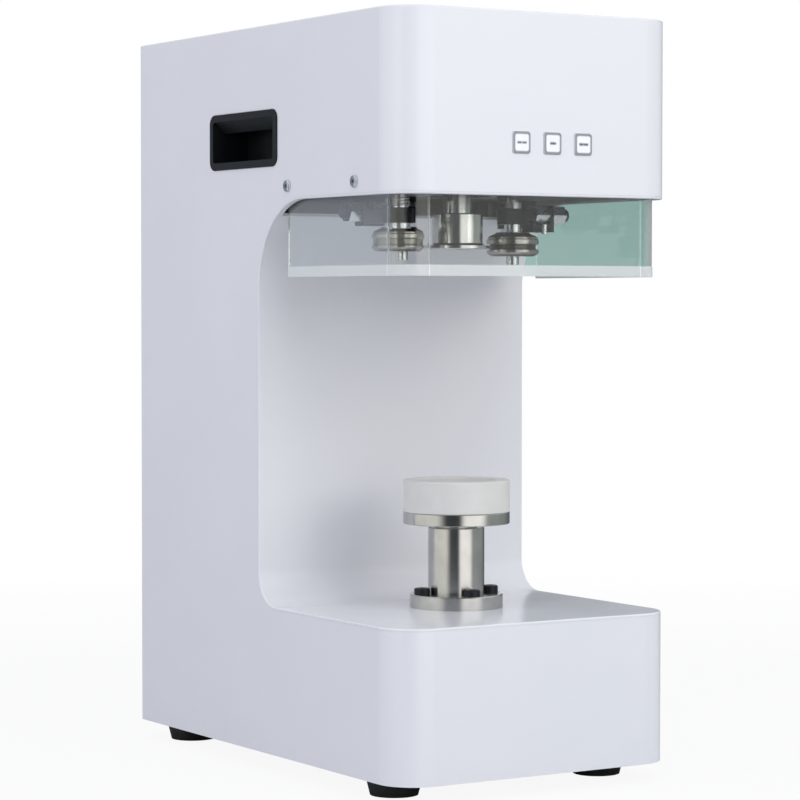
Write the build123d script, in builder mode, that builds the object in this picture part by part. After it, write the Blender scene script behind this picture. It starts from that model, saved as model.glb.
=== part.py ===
from build123d import *
import os
from math import cos, radians, sin

# Desktop can seamer, in millimetres. X is to the right, Y to the back, Z up.
# The origin is on the table, under the middle of the casing.
os.makedirs("parts", exist_ok=True)

# Casing
casing_width = 261.0
casing_depth = 437.0
casing_height = 594.0
corner_radius = 31.0
bend_radius = 3.0
shell_wall = 1.5
rear_flange = 16.0
foot_height = 15.0
proud = 1.2
fit_gap = 0.3
seam_gap = 0.1
edge_round = 1.2

# Throat between the deck and the head
deck_rise = 121.0
head_height = 142.5
throat_depth = 220.0
throat_top_radius = 70.0
throat_low_radius = 27.0
liner_wall = 2.0
window_rim = 5.0
window_rear_setback = 190.0

# Seaming axis, behind the front face
axis_setback = 123.5

# Feet
foot_radius = 22.0
foot_inset_side = 33.5
foot_inset_front = 62.5
foot_inset_rear = 36.5
foot_screw_radius = 2.5

# Frames
tray_wall = 2.0
tray_rim = 14.0
deck_frame_thickness = 10.0
deck_leg_wall = 4.0
frame_side_gap = 24.5
column_wall = 4.0
column_gap = 12.0
column_channel_depth = 60.0
column_tab = 12.0
deck_frame_front_gap = 20.0
head_plate_lift = 3.5
head_plate_thickness = 12.0
head_plate_rear_gap = 20.0

# Guard
guard_inset = 8.0
guard_wall = 3.0
guard_drop = 62.0
guard_tuck = 19.5
guard_band = 8.0
guard_band_proud = 0.5
guard_rear_setback = 184.5
guard_screw_setbacks = (66.5, 171.5)
guard_screw_rise = 11.0
guard_screw_radius = 2.4
guard_screw_head = 5.0
guard_screw_head_height = 2.2

# Handle cups
handle_length = 114.6
handle_height = 46.5
handle_radius = 8.0
handle_front_setback = 188.0
handle_rise = 27.5
handle_rim = 4.0
handle_flange = 1.2
handle_depth = 34.0
handle_wall = 2.0
handle_lip = 9.0

# Keys
key_width = 16.3
key_height = 16.5
key_spacing = 29.1
key_middle_offset = 8.4
key_rise = 41.0
key_gap = 0.35
key_travel = 0.6
key_corner = 2.0
board_setback = 14.0

# Lift
post_radius = 23.0
post_height = 65.5
flange_radius = 38.0
flange_thickness = 11.0
spigot_radius = 19.8
spigot_depth = 36.0
post_screw_circle = 30.5
post_screw_turn = -8.0
post_screw_head = 6.5
post_screw_head_height = 5.5
post_screw_radius = 3.0
plunger_radius = 17.0
plunger_length = 104.0
plunger_show = 2.5
plunger_bore = 11.0
lift_stroke = 60.0
nut_radius = 13.0
nut_length = 18.0
screw_radius = 8.0
coupling_radius = 13.0
motor_shaft_radius = 4.0
lift_motor_width = 57.0
lift_motor_height = 52.0
table_radius = 43.5
table_thickness = 10.0
seat_height = 26.0
seat_recess_radius = 33.3
seat_recess_depth = 10.0
table_bearing_radius = 13.0
table_bearing_bore = 5.0
table_bearing_width = 8.0

# Spindle
chuck_drop = 39.5
chuck_radius = 20.5
chuck_height = 29.0
chuck_rim_radius = 26.0
chuck_rim_height = 3.0
spindle_neck_radius = 11.5
spindle_radius = 10.0
spindle_nose_radius = 6.0
spindle_bearing_radius = 21.0
spindle_bearing_width = 12.0
collar_radius = 32.0
housing_flange_radius = 42.0
housing_flange_thickness = 6.0
housing_screw_circle = 37.0
housing_screw_radius = 2.5
running_gap = 0.05

# Seaming arms, given from the seaming axis
pivot_x = 88.0
pivot_y = 52.0
pivot_radius = 7.0
bush_radius = 10.0
bush_flange_radius = 13.0
bush_flange_thickness = 1.5
arm_hub_radius = 12.0
roller_x = 54.0
roller_radius = 21.5
roller_height = 19.5
roller_drop = 25.0
second_roller_lift = 3.0
pin_radius = 4.5
pin_end_radius = 5.4
pin_end_length = 7.0
pin_shoulder_radius = 7.0
pin_head_radius = 7.5
pin_head_height = 5.0
holder_top_drop = 5.5
holder_height = 13.0
holder_half_width = 7.0
holder_inner_x = 40.0
holder_outer_x = 72.9
lug_thickness = 4.0
lug_half_width = 8.0
adjuster_radius = 4.0
adjuster_nut_length = 12.9
adjuster_nut_half_width = 7.5
adjuster_head_radius = 5.75
adjuster_head_length = 5.0
arm_end_radius = 6.0
foot_block_inner_x = 68.6
adjuster_drop = 10.5
foot_block_drop = 14.5
foot_block_height = 10.0
lever_thickness = 6.0
follower_radius = 8.0
follower_distance = 60.3
follower_angle = 72.0
follower_height = 9.0
follower_stud_radius = 4.0
cam_gap = 0.3
cam_throw = 11.0
cam_disc_thickness = 10.0
cam_clear_span = 52.7
spring_wire = 1.6
spring_turns = 3
spring_pitch = 2.3

# Drives
spindle_pulley_radius = 30.0
motor_pulley_radius = 20.0
main_belt_width = 14.0
main_belt_thickness = 2.5
cam_pulley_radius = 38.2
cam_motor_pulley_radius = 12.0
cam_belt_width = 7.0
cam_belt_thickness = 2.0
pulley_flange = 2.8
pulley_flange_thickness = 1.5
belt_gap = 0.05
belt_side_gap = 0.5
main_motor_height = 115.0
main_motor_front_gap = 2.5
main_motor_rear_gap = 6.5
main_motor_shaft_radius = 7.0
cam_motor_radius = 26.0
cam_motor_height = 70.0
cam_motor_x = -55.0
cam_motor_gap = 8.5
cam_motor_shaft_radius = 3.0

# Power supply, inlet and rocker
supply_length = 150.0
supply_gap = 4.75
supply_height = 38.0
inlet_width = 31.0
inlet_height = 52.0
inlet_depth = 24.0
inlet_rim = 2.0
inlet_side_offset = 70.0
inlet_rise = 30.0
socket_width = 24.0
socket_height = 17.0
rocker_width = 20.0
rocker_height = 14.0
rocker_tilt = 8.0
cover_screw_radius = 2.0
cover_screw_head = 3.6
vent_slot_length = 40.0
vent_slot_width = 4.0

# Levels and places that follow from the sizes above
half_width = casing_width / 2
front_y = -casing_depth / 2
back_y = casing_depth / 2
top_z = foot_height + casing_height
deck_z = foot_height + deck_rise
head_z = top_z - head_height
column_y = front_y + throat_depth
axis_y = front_y + axis_setback
inner_half = half_width - shell_wall
shell_rear = back_y - shell_wall
shell_top = top_z - shell_wall
tray_top = foot_height + tray_wall
plate_bottom = head_z + head_plate_lift
plate_top = plate_bottom + head_plate_thickness
frame_half_width = half_width - frame_side_gap
column_front = column_y + column_gap
column_rear = column_front + column_channel_depth
plate_rear = back_y - head_plate_rear_gap
motor_front = column_rear + column_tab + main_motor_front_gap
motor_rear = plate_rear - main_motor_rear_gap
main_motor_radius = (motor_rear - motor_front) / 2
motor_y = motor_rear - main_motor_radius
cam_motor_y = column_y + liner_wall + cam_motor_gap + cam_motor_radius
through = 2.0


def save(piece, name):
    piece.part.label = name
    export_step(piece.part, "parts/" + name + ".step")


def plan_outline(inset, rear, front_round=corner_radius, rear_round=bend_radius):
    """Plan of the casing moved inwards by inset, ending at rear, with all four corners rounded."""
    half = half_width - inset
    front = front_y + inset
    near = max(front_round - inset, 0.5)
    far = max(rear_round - inset, 0.5)
    with BuildSketch() as outline:
        with BuildLine():
            CenterArc((half - near, front + near), near, -90, 90)
            Line((half, front + near), (half, rear - far))
            CenterArc((half - far, rear - far), far, 0, 90)
            Line((half - far, rear), (-half + far, rear))
            CenterArc((-half + far, rear - far), far, 90, 90)
            Line((-half, rear - far), (-half, front + near))
            CenterArc((-half + near, front + near), near, 180, 90)
            Line((-half + near, front), (half - near, front))
        make_face()
    return outline.sketch


def throat_side(offset):
    """Side view of the throat, open past the front face, moved outwards into the metal by offset."""
    low = throat_low_radius + offset
    high = throat_top_radius + offset
    floor = deck_z - offset
    roof = head_z + offset
    wall = column_y + offset
    mouth = front_y - through
    with BuildSketch() as side:
        with BuildLine():
            Line((mouth, floor), (wall - low, floor))
            CenterArc((wall - low, floor + low), low, -90, 90)
            Line((wall, floor + low), (wall, roof - high))
            CenterArc((wall - high, roof - high), high, 0, 90)
            Line((wall - high, roof), (mouth, roof))
            Line((mouth, roof), (mouth, floor))
        make_face()
    return side.sketch


def belt_loop(start, start_radius, end, end_radius, thickness):
    """Plan of a flat belt pulled round two pulleys."""
    with BuildSketch() as inside:
        with Locations(start):
            Circle(start_radius + belt_gap)
        with Locations(end):
            Circle(end_radius + belt_gap)
        make_hull()
    with BuildSketch() as loop:
        with Locations(start):
            Circle(start_radius + belt_gap + thickness)
        with Locations(end):
            Circle(end_radius + belt_gap + thickness)
        make_hull()
        add(inside.sketch, mode=Mode.SUBTRACT)
    return loop.sketch


def flanged_pulley(radius, bore, low, belt_width):
    """Section of a pulley with a flange each side of its belt, drawn for a revolve about Z."""
    high = low + belt_width + 2 * (belt_side_gap + pulley_flange_thickness)
    with BuildSketch() as section:
        with BuildLine():
            Polyline(
                (bore, low),
                (radius + pulley_flange, low),
                (radius + pulley_flange, low + pulley_flange_thickness),
                (radius, low + pulley_flange_thickness),
                (radius, high - pulley_flange_thickness),
                (radius + pulley_flange, high - pulley_flange_thickness),
                (radius + pulley_flange, high),
                (bore, high),
                close=True,
            )
        make_face()
    return section.sketch


# Casing shell, one folded sheet round both sides and the front
guard_screw_ys = [front_y + setback for setback in guard_screw_setbacks]
guard_screw_z = head_z + guard_screw_rise
handle_y = front_y + handle_front_setback + handle_length / 2
handle_z = head_z + handle_rise + handle_height / 2
key_z = head_z + key_rise
key_xs = [key_middle_offset + step * key_spacing for step in (-1, 0, 1)]
cover_rear_half = half_width - bend_radius
cover_screw_x = inner_half - rear_flange / 2
cover_screw_zs = [foot_height + casing_height * share for share in (0.05, 0.35, 0.65, 0.95)]

with BuildPart() as casing_shell:
    with BuildSketch(Plane.XY.offset(foot_height)):
        add(plan_outline(0, shell_rear))
    extrude(amount=shell_top - foot_height)
    with BuildSketch(Plane.XY.offset(foot_height)):
        add(plan_outline(shell_wall, shell_rear - shell_wall))
    extrude(amount=shell_top - foot_height, mode=Mode.SUBTRACT)
    with BuildSketch(Plane.XY.offset(foot_height)):
        with Locations((0, shell_rear)):
            Rectangle(2 * (inner_half - rear_flange), 4 * shell_wall)
    extrude(amount=shell_top - foot_height, mode=Mode.SUBTRACT)
    with BuildSketch(Plane.YZ):
        add(throat_side(liner_wall + seam_gap))
    extrude(amount=half_width + through, both=True, mode=Mode.SUBTRACT)
    with BuildSketch(Plane.YZ):
        with Locations((handle_y, handle_z)):
            RectangleRounded(
                handle_length - 2 * handle_rim, handle_height - 2 * handle_rim, handle_radius - handle_rim
            )
        with Locations(*[(y, guard_screw_z) for y in guard_screw_ys]):
            Circle(guard_screw_radius + fit_gap)
    extrude(amount=half_width + through, both=True, mode=Mode.SUBTRACT)
    with BuildSketch(Plane.XZ.offset(-front_y - through)):
        with Locations(*[(x, key_z) for x in key_xs]):
            RectangleRounded(key_width + 2 * key_gap, key_height + 2 * key_gap, key_corner)
    extrude(amount=2 * through, mode=Mode.SUBTRACT)
    with BuildSketch(Plane.XZ.offset(-shell_rear - through)):
        with Locations(*[(side * cover_screw_x, z) for side in (-1, 1) for z in cover_screw_zs]):
            Circle(cover_screw_radius + fit_gap)
    extrude(amount=4 * through, mode=Mode.SUBTRACT)
save(casing_shell, "casing_shell")

# Throat liner, bent from one wide sheet: deck, column front and head underside
window_half = half_width - window_rim
window_rear = front_y + window_rear_setback
lip_low_y = column_y - throat_low_radius
with BuildPart() as throat_liner:
    with BuildSketch(Plane.YZ):
        add(throat_side(liner_wall))
        add(throat_side(0), mode=Mode.SUBTRACT)
    extrude(amount=half_width, both=True)
    with BuildSketch(Plane.XY.offset(foot_height)):
        add(plan_outline(0, shell_rear))
    extrude(amount=casing_height, mode=Mode.INTERSECT)
    deck_face = throat_liner.faces().filter_by(Axis.Z).sort_by(Axis.Z)[1]
    deck_rim = deck_face.edges().filter_by(lambda edge: edge.center().Y < lip_low_y - through)
    fillet(deck_rim, edge_round)
    with BuildSketch(Plane.XY.offset(head_z - throat_top_radius)):
        window_depth = window_rear - front_y - window_rim
        with Locations((0, front_y + window_rim + window_depth / 2)):
            Rectangle(2 * window_half, window_depth)
        fillet(vertices().group_by(Axis.Y)[0], corner_radius - window_rim)
    extrude(amount=throat_top_radius + 4 * liner_wall, mode=Mode.SUBTRACT)
    with BuildSketch(Plane.XY.offset(deck_z - 2 * liner_wall)):
        with Locations((0, axis_y)):
            Circle(spigot_radius + fit_gap)
            with PolarLocations(post_screw_circle, 4, start_angle=post_screw_turn):
                Circle(post_screw_radius + fit_gap)
    extrude(amount=4 * liner_wall, mode=Mode.SUBTRACT)
save(throat_liner, "throat_liner")

# Top cover, with a lip that drops inside the casing shell
lip_depth = 12.0
with BuildPart() as top_cover:
    with BuildSketch(Plane.XY.offset(shell_top)):
        add(plan_outline(0, shell_rear))
    extrude(amount=shell_wall)
    fillet(top_cover.faces().sort_by(Axis.Z)[-1].edges(), edge_round)
    with BuildSketch(Plane.XY.offset(shell_top)):
        add(plan_outline(shell_wall + fit_gap, shell_rear - shell_wall - fit_gap))
        add(
            plan_outline(2 * shell_wall + fit_gap, shell_rear - 2 * shell_wall - fit_gap),
            mode=Mode.SUBTRACT,
        )
    extrude(amount=-lip_depth)
save(top_cover, "top_cover")

# Rear cover, a flat sheet screwed on the two rear flanges
inlet_x = inlet_side_offset
inlet_z = foot_height + inlet_rise + inlet_height / 2
vent_columns = 2
vent_rows = 7
with BuildPart() as rear_cover:
    with BuildSketch(Plane.XZ.offset(-back_y)):
        with Locations((0, foot_height + casing_height / 2)):
            RectangleRounded(2 * cover_rear_half, casing_height, bend_radius)
        with Locations(*[(side * cover_screw_x, z) for side in (-1, 1) for z in cover_screw_zs]):
            Circle(cover_screw_radius + fit_gap, mode=Mode.SUBTRACT)
        with Locations((inlet_x, inlet_z)):
            Rectangle(inlet_width - 2 * inlet_rim, inlet_height - 2 * inlet_rim, mode=Mode.SUBTRACT)
        with Locations((0, plate_bottom - main_motor_height / 2)):
            with GridLocations(1.5 * vent_slot_length, 3 * vent_slot_width, vent_columns, vent_rows):
                SlotOverall(vent_slot_length, vent_slot_width, mode=Mode.SUBTRACT)
    extrude(amount=shell_wall)
save(rear_cover, "rear_cover")

# Screws of the rear cover and of the feet
foot_places = [
    (side * (half_width - foot_inset_side), y)
    for side in (-1, 1)
    for y in (front_y + foot_inset_front, back_y - foot_inset_rear)
]
foot_screw_sink = 4.0
foot_screw_head_height = 3.0
screw_reach = 8.0
cover_screw_places = [(side * cover_screw_x, back_y, z) for side in (-1, 1) for z in cover_screw_zs]
with BuildPart() as case_screws:
    with Locations(*[Location(place, (-90, 0, 0)) for place in cover_screw_places]):
        Cylinder(cover_screw_head, proud, align=(Align.CENTER, Align.CENTER, Align.MIN))
        Cylinder(cover_screw_radius, screw_reach, align=(Align.CENTER, Align.CENTER, Align.MAX))
    fillet(case_screws.edges().filter_by(GeomType.CIRCLE).group_by(Axis.Y)[-1], proud / 2)
    with Locations(*[(x, y, foot_screw_sink) for x, y in foot_places]):
        Cylinder(
            2 * foot_screw_radius,
            foot_screw_head_height,
            align=(Align.CENTER, Align.CENTER, Align.MIN),
        )
        Cylinder(
            foot_screw_radius,
            tray_top,
            align=(Align.CENTER, Align.CENTER, Align.MIN),
        )
save(case_screws, "case_screws")

# Base tray
with BuildPart() as base_tray:
    with BuildSketch(Plane.XY.offset(foot_height)):
        add(plan_outline(shell_wall + fit_gap, shell_rear - shell_wall - fit_gap))
    extrude(amount=tray_rim)
    with BuildSketch(Plane.XY.offset(tray_top)):
        add(plan_outline(shell_wall + fit_gap + tray_wall, shell_rear - shell_wall - fit_gap - tray_wall))
    extrude(amount=tray_rim, mode=Mode.SUBTRACT)
    with BuildSketch(Plane.XY.offset(foot_height)):
        with Locations(*foot_places):
            Circle(foot_screw_radius + fit_gap)
    extrude(amount=tray_rim, mode=Mode.SUBTRACT)
save(base_tray, "base_tray")

# Rubber feet, moulded as a taper with a sunk screw
foot_recess_radius = 2 * foot_screw_radius + 2.0
foot_taper = 3.0
with BuildPart() as rubber_foot:
    with BuildSketch(Plane.XZ):
        with BuildLine():
            Polyline(
                (foot_screw_radius + fit_gap, foot_screw_sink + foot_screw_head_height),
                (foot_recess_radius, foot_screw_sink + foot_screw_head_height),
                (foot_recess_radius, 0),
                (foot_radius - foot_taper, 0),
                (foot_radius, foot_height - foot_taper),
                (foot_radius, foot_height),
                (foot_screw_radius + fit_gap, foot_height),
                close=True,
            )
        make_face()
    revolve(axis=Axis.Z)
with BuildPart() as rubber_feet:
    with Locations(*foot_places):
        add(rubber_foot.part)
save(rubber_feet, "rubber_feet")

# Column frame, a folded channel from the base tray up to the head plate
with BuildPart() as column_frame:
    with BuildSketch(Plane.XY.offset(tray_top)) as channel_plan:
        with Locations((0, column_front)):
            Rectangle(2 * frame_half_width, column_channel_depth, align=(Align.CENTER, Align.MIN))
        fillet(channel_plan.vertices().group_by(Axis.Y)[-1], bend_radius + column_wall)
        with Locations((0, column_front - through)):
            Rectangle(
                2 * (frame_half_width - column_wall),
                column_channel_depth - column_wall + through,
                align=(Align.CENTER, Align.MIN),
                mode=Mode.SUBTRACT,
            )
    extrude(amount=plate_bottom - tray_top)
    with Locations((0, column_rear, tray_top), (0, column_rear, plate_bottom - column_wall)):
        Box(
            2 * (frame_half_width - 2 * bend_radius - column_wall),
            column_tab,
            column_wall,
            align=(Align.CENTER, Align.MIN, Align.MIN),
        )
save(column_frame, "column_frame")

# Deck frame, a folded bridge that carries the lift post
deck_frame_top = deck_z - liner_wall
deck_frame_low = deck_frame_top - deck_frame_thickness
deck_frame_front = front_y + deck_frame_front_gap
post_hole_radius = spigot_radius + fit_gap
with BuildPart() as deck_frame:
    with Locations((0, deck_frame_front, tray_top)):
        Box(
            2 * frame_half_width,
            column_front - deck_frame_front,
            deck_frame_top - tray_top,
            align=(Align.CENTER, Align.MIN, Align.MIN),
        )
    fillet(deck_frame.edges().filter_by(Axis.Y).group_by(Axis.Z)[-1], bend_radius)
    with Locations((0, deck_frame_front - through, tray_top - through)):
        Box(
            2 * (frame_half_width - deck_leg_wall),
            column_front - deck_frame_front + 2 * through,
            deck_frame_low - tray_top + through,
            align=(Align.CENTER, Align.MIN, Align.MIN),
            mode=Mode.SUBTRACT,
        )
    with Locations((0, axis_y, deck_frame_top)):
        Hole(post_hole_radius)
        with PolarLocations(post_screw_circle, 4, start_angle=post_screw_turn):
            Hole(post_screw_radius + running_gap)
save(deck_frame, "deck_frame")

# Head plate, thick steel that carries everything in the head
plate_side_gap = 6.0
plate_inset = guard_inset + guard_wall + plate_side_gap
plate_half = half_width - plate_inset
plate_front = front_y + plate_inset
plate_chamfer = 1.0
housing_shoulder = 4.0
shaft_clearance = 5.0
housing_spigot_radius = collar_radius - housing_shoulder
motor_hole_radius = main_motor_shaft_radius + shaft_clearance
cam_motor_hole_radius = cam_motor_shaft_radius + shaft_clearance
pivot_places = [(pivot_x, axis_y + pivot_y), (-pivot_x, axis_y - pivot_y)]
with BuildPart() as head_plate:
    with BuildSketch(Plane.XY.offset(plate_bottom)) as plate_plan:
        with Locations((0, plate_front)):
            Rectangle(2 * plate_half, plate_rear - plate_front, align=(Align.CENTER, Align.MIN))
        fillet(plate_plan.vertices().group_by(Axis.Y)[0], corner_radius - plate_inset)
    extrude(amount=head_plate_thickness)
    chamfer(head_plate.faces().sort_by(Axis.Z)[0].edges(), plate_chamfer)
    with Locations((0, axis_y, plate_top)):
        Hole(housing_spigot_radius + fit_gap)
        with PolarLocations(housing_screw_circle, 4, start_angle=45):
            Hole(housing_screw_radius + running_gap)
    with Locations(*[(x, y, plate_top) for x, y in pivot_places]):
        Hole(bush_radius + running_gap)
    with Locations((0, motor_y, plate_top)):
        Hole(motor_hole_radius)
    with Locations((cam_motor_x, cam_motor_y, plate_top)):
        Hole(cam_motor_hole_radius)
save(head_plate, "head_plate")

# Clear guard, one bent acrylic sheet with a thicker lower edge
guard_low = head_z - guard_drop
guard_high = head_z + guard_tuck
guard_rear = front_y + guard_rear_setback
with BuildPart() as guard:
    with BuildSketch(Plane.XY.offset(guard_low)):
        add(plan_outline(guard_inset, guard_rear))
    extrude(amount=guard_high - guard_low)
    with BuildSketch(Plane.XY.offset(guard_low)):
        add(plan_outline(guard_inset - guard_band_proud, guard_rear))
    extrude(amount=guard_band)
    with BuildSketch(Plane.XY.offset(guard_low - through)):
        add(plan_outline(guard_inset + guard_wall, guard_rear + corner_radius))
    extrude(amount=guard_high - guard_low + 2 * through, mode=Mode.SUBTRACT)
    with BuildSketch(Plane.YZ):
        with Locations(*[(y, guard_screw_z) for y in guard_screw_ys]):
            Circle(guard_screw_radius + fit_gap)
    extrude(amount=half_width, both=True, mode=Mode.SUBTRACT)
save(guard, "guard")

# Guard screws with domed heads, each with a spacer and a nut
guard_nut_length = 3.0
guard_nut_radius = 4.5
guard_nut_low = guard_inset + guard_wall
guard_screw_end = 1.0
with BuildPart() as guard_screw:
    with BuildSketch():
        Circle(guard_screw_head)
    extrude(amount=guard_screw_head_height)
    fillet(guard_screw.faces().sort_by(Axis.Z)[-1].edges(), guard_screw_head_height * 0.7)
    with BuildSketch(Plane.XY.offset(guard_screw_head_height)):
        RegularPolygon(guard_screw_head / 3, 6)
    extrude(amount=-guard_screw_head_height / 2, mode=Mode.SUBTRACT)
    with BuildSketch():
        Circle(guard_screw_radius)
    extrude(amount=-(guard_nut_low + guard_nut_length + guard_screw_end))
    with BuildSketch(Plane.XY.offset(-shell_wall)):
        Circle(guard_screw_head)
        Circle(guard_screw_radius + running_gap, mode=Mode.SUBTRACT)
    extrude(amount=shell_wall - guard_inset)
    with BuildSketch(Plane.XY.offset(-guard_nut_low)):
        RegularPolygon(guard_nut_radius, 6)
        Circle(guard_screw_radius + running_gap, mode=Mode.SUBTRACT)
    extrude(amount=-guard_nut_length)
with BuildPart() as guard_screws:
    for side in (-1, 1):
        with Locations(
            *[Location((side * half_width, y, guard_screw_z), (0, 90 * side, 0)) for y in guard_screw_ys]
        ):
            add(guard_screw.part)
save(guard_screws, "guard_screws")


def handle_cup(side):
    """Deep moulded cup in one side of the casing, with a sloped lip along its top."""
    mouth = Plane(
        origin=(side * half_width, handle_y, handle_z), x_dir=(0, side, 0), z_dir=(side, 0, 0)
    )
    across = Plane(
        origin=(side * half_width, handle_y, handle_z), x_dir=(-side, 0, 0), z_dir=(0, side, 0)
    )
    body_length = handle_length - 2 * handle_rim - fit_gap
    body_height = handle_height - 2 * handle_rim - fit_gap
    body_radius = handle_radius - handle_rim
    hollow_length = body_length - 2 * handle_wall
    hollow_height = body_height - 2 * handle_wall
    lip_top = hollow_height / 2
    with BuildPart() as cup:
        with BuildSketch(mouth):
            RectangleRounded(handle_length, handle_height, handle_radius)
        extrude(amount=handle_flange)
        fillet(cup.faces().sort_by(Axis.X)[0 if side < 0 else -1].edges(), handle_flange * 0.6)
        with BuildSketch(mouth):
            RectangleRounded(body_length, body_height, body_radius)
        extrude(amount=-handle_depth)
        with BuildSketch(mouth.offset(handle_flange)):
            RectangleRounded(hollow_length, hollow_height, body_radius - handle_wall / 2)
        extrude(amount=-(handle_depth + handle_flange - handle_wall), mode=Mode.SUBTRACT)
        with BuildSketch(across):
            with BuildLine():
                Polyline(
                    (-handle_flange / 2, lip_top + handle_wall / 2),
                    (handle_lip, lip_top - handle_lip),
                    (handle_lip, lip_top - handle_lip + handle_wall * 1.5),
                    (handle_wall * 1.5, lip_top + handle_wall / 2),
                    close=True,
                )
            make_face()
        extrude(amount=hollow_length / 2 + handle_wall / 2, both=True)
    return cup.part


with BuildPart() as handle_cups:
    add(handle_cup(-1))
    add(handle_cup(1))
save(handle_cups, "handle_cups")

# Control board behind the keys, on four standoffs
board_y = front_y + board_setback
board_width = 110.0
board_height = 46.0
board_thickness = 1.6
board_screw_inset = 5.0
standoff_radius = 3.0
switch_width = 6.0
switch_height = 3.5
switch_face = board_y - switch_height
relay_size = (18.0, 8.0, 24.0)
relay_offsets = (-30.0, 25.0)
with BuildPart() as control_board:
    with Locations((key_middle_offset, board_y, key_z)):
        Box(board_width, board_thickness, board_height, align=(Align.CENTER, Align.MIN, Align.CENTER))
    with BuildSketch(Plane.XZ.offset(-board_y)):
        with Locations((key_middle_offset, key_z)):
            with GridLocations(
                board_width - 2 * board_screw_inset, board_height - 2 * board_screw_inset, 2, 2
            ):
                Circle(standoff_radius)
    extrude(amount=board_setback - shell_wall)
    with Locations(*[(x, switch_face, key_z) for x in key_xs]):
        Box(switch_width, switch_height, switch_width, align=(Align.CENTER, Align.MIN, Align.CENTER))
    with Locations(*[(key_middle_offset + offset, board_y, key_z) for offset in relay_offsets]):
        Box(*relay_size, align=(Align.CENTER, Align.MIN, Align.CENTER))
save(control_board, "control_board")

# Keys: a square cap, a flange that keeps it in the panel, and a stem on its switch
key_flange = 1.2
key_flange_rim = 1.5
key_round = 0.5
key_flange_y = front_y + shell_wall + running_gap
stem_end = switch_face - key_travel - seam_gap
stem_radius = 2.0
for number, key_x in enumerate(key_xs, 1):
    with BuildPart() as key:
        with BuildSketch(Plane.XZ.offset(-front_y + proud)):
            with Locations((key_x, key_z)):
                RectangleRounded(key_width, key_height, key_corner)
        extrude(amount=-(proud + shell_wall + running_gap))
        fillet(key.faces().sort_by(Axis.Y)[0].edges(), key_round)
        with BuildSketch(Plane.XZ.offset(-key_flange_y)):
            with Locations((key_x, key_z)):
                Rectangle(key_width + 2 * key_flange_rim, key_height + 2 * key_flange_rim)
        extrude(amount=-key_flange)
        with BuildSketch(Plane.XZ.offset(-key_flange_y)):
            with Locations((key_x, key_z)):
                Circle(stem_radius)
        extrude(amount=-(stem_end - key_flange_y))
    save(key, "key_" + str(number))

# Spindle housing, bolted on the head plate, with the collar that the cam ring turns on
stack_gap = 0.5
lever_low = plate_top + bush_flange_thickness + stack_gap
lever_top = lever_low + lever_thickness
cam_low = lever_top + stack_gap
cam_pulley_low = cam_low + cam_disc_thickness
cam_top = cam_pulley_low + cam_belt_width + 2 * (belt_side_gap + pulley_flange_thickness)
collar_top = cam_top + 1.0
housing_low = plate_bottom + 2.0
bearing_low = housing_low + 2.0
bearing_high = collar_top - 1.0 - spindle_bearing_width
with BuildPart() as spindle_housing:
    with BuildSketch(Plane.XZ.offset(-axis_y)):
        with BuildLine():
            Polyline(
                (spindle_neck_radius + fit_gap, housing_low),
                (housing_spigot_radius, housing_low),
                (housing_spigot_radius, plate_top),
                (housing_flange_radius, plate_top),
                (housing_flange_radius, plate_top + housing_flange_thickness),
                (collar_radius, plate_top + housing_flange_thickness),
                (collar_radius, collar_top),
                (spindle_bearing_radius + running_gap, collar_top),
                (spindle_bearing_radius + running_gap, bearing_low),
                (spindle_neck_radius + fit_gap, bearing_low),
                close=True,
            )
        make_face()
    revolve(axis=Axis((0, axis_y, 0), (0, 0, 1)))
    with Locations((0, axis_y, plate_top + housing_flange_thickness)):
        with PolarLocations(housing_screw_circle, 4, start_angle=45):
            Hole(housing_screw_radius + fit_gap)
save(spindle_housing, "spindle_housing")


shield_depth = 0.8


def bearing(bore, outside, width):
    """Section of a sealed ball bearing: two rings with a shield set back between them."""
    wall = (outside - bore) / 4
    with BuildSketch() as section:
        with BuildLine():
            Polyline(
                (bore, 0),
                (bore + wall, 0),
                (bore + wall, shield_depth),
                (outside - wall, shield_depth),
                (outside - wall, 0),
                (outside, 0),
                (outside, width),
                (outside - wall, width),
                (outside - wall, width - shield_depth),
                (bore + wall, width - shield_depth),
                (bore + wall, width),
                (bore, width),
                close=True,
            )
        make_face()
    return section.sketch


with BuildPart() as spindle_bearing:
    with BuildSketch(Plane.XZ):
        add(bearing(spindle_radius + running_gap, spindle_bearing_radius, spindle_bearing_width))
    revolve(axis=Axis.Z)
with BuildPart() as spindle_bearings:
    with Locations((0, axis_y, bearing_low), (0, axis_y, bearing_high)):
        add(spindle_bearing.part)
save(spindle_bearings, "spindle_bearings")

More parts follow.
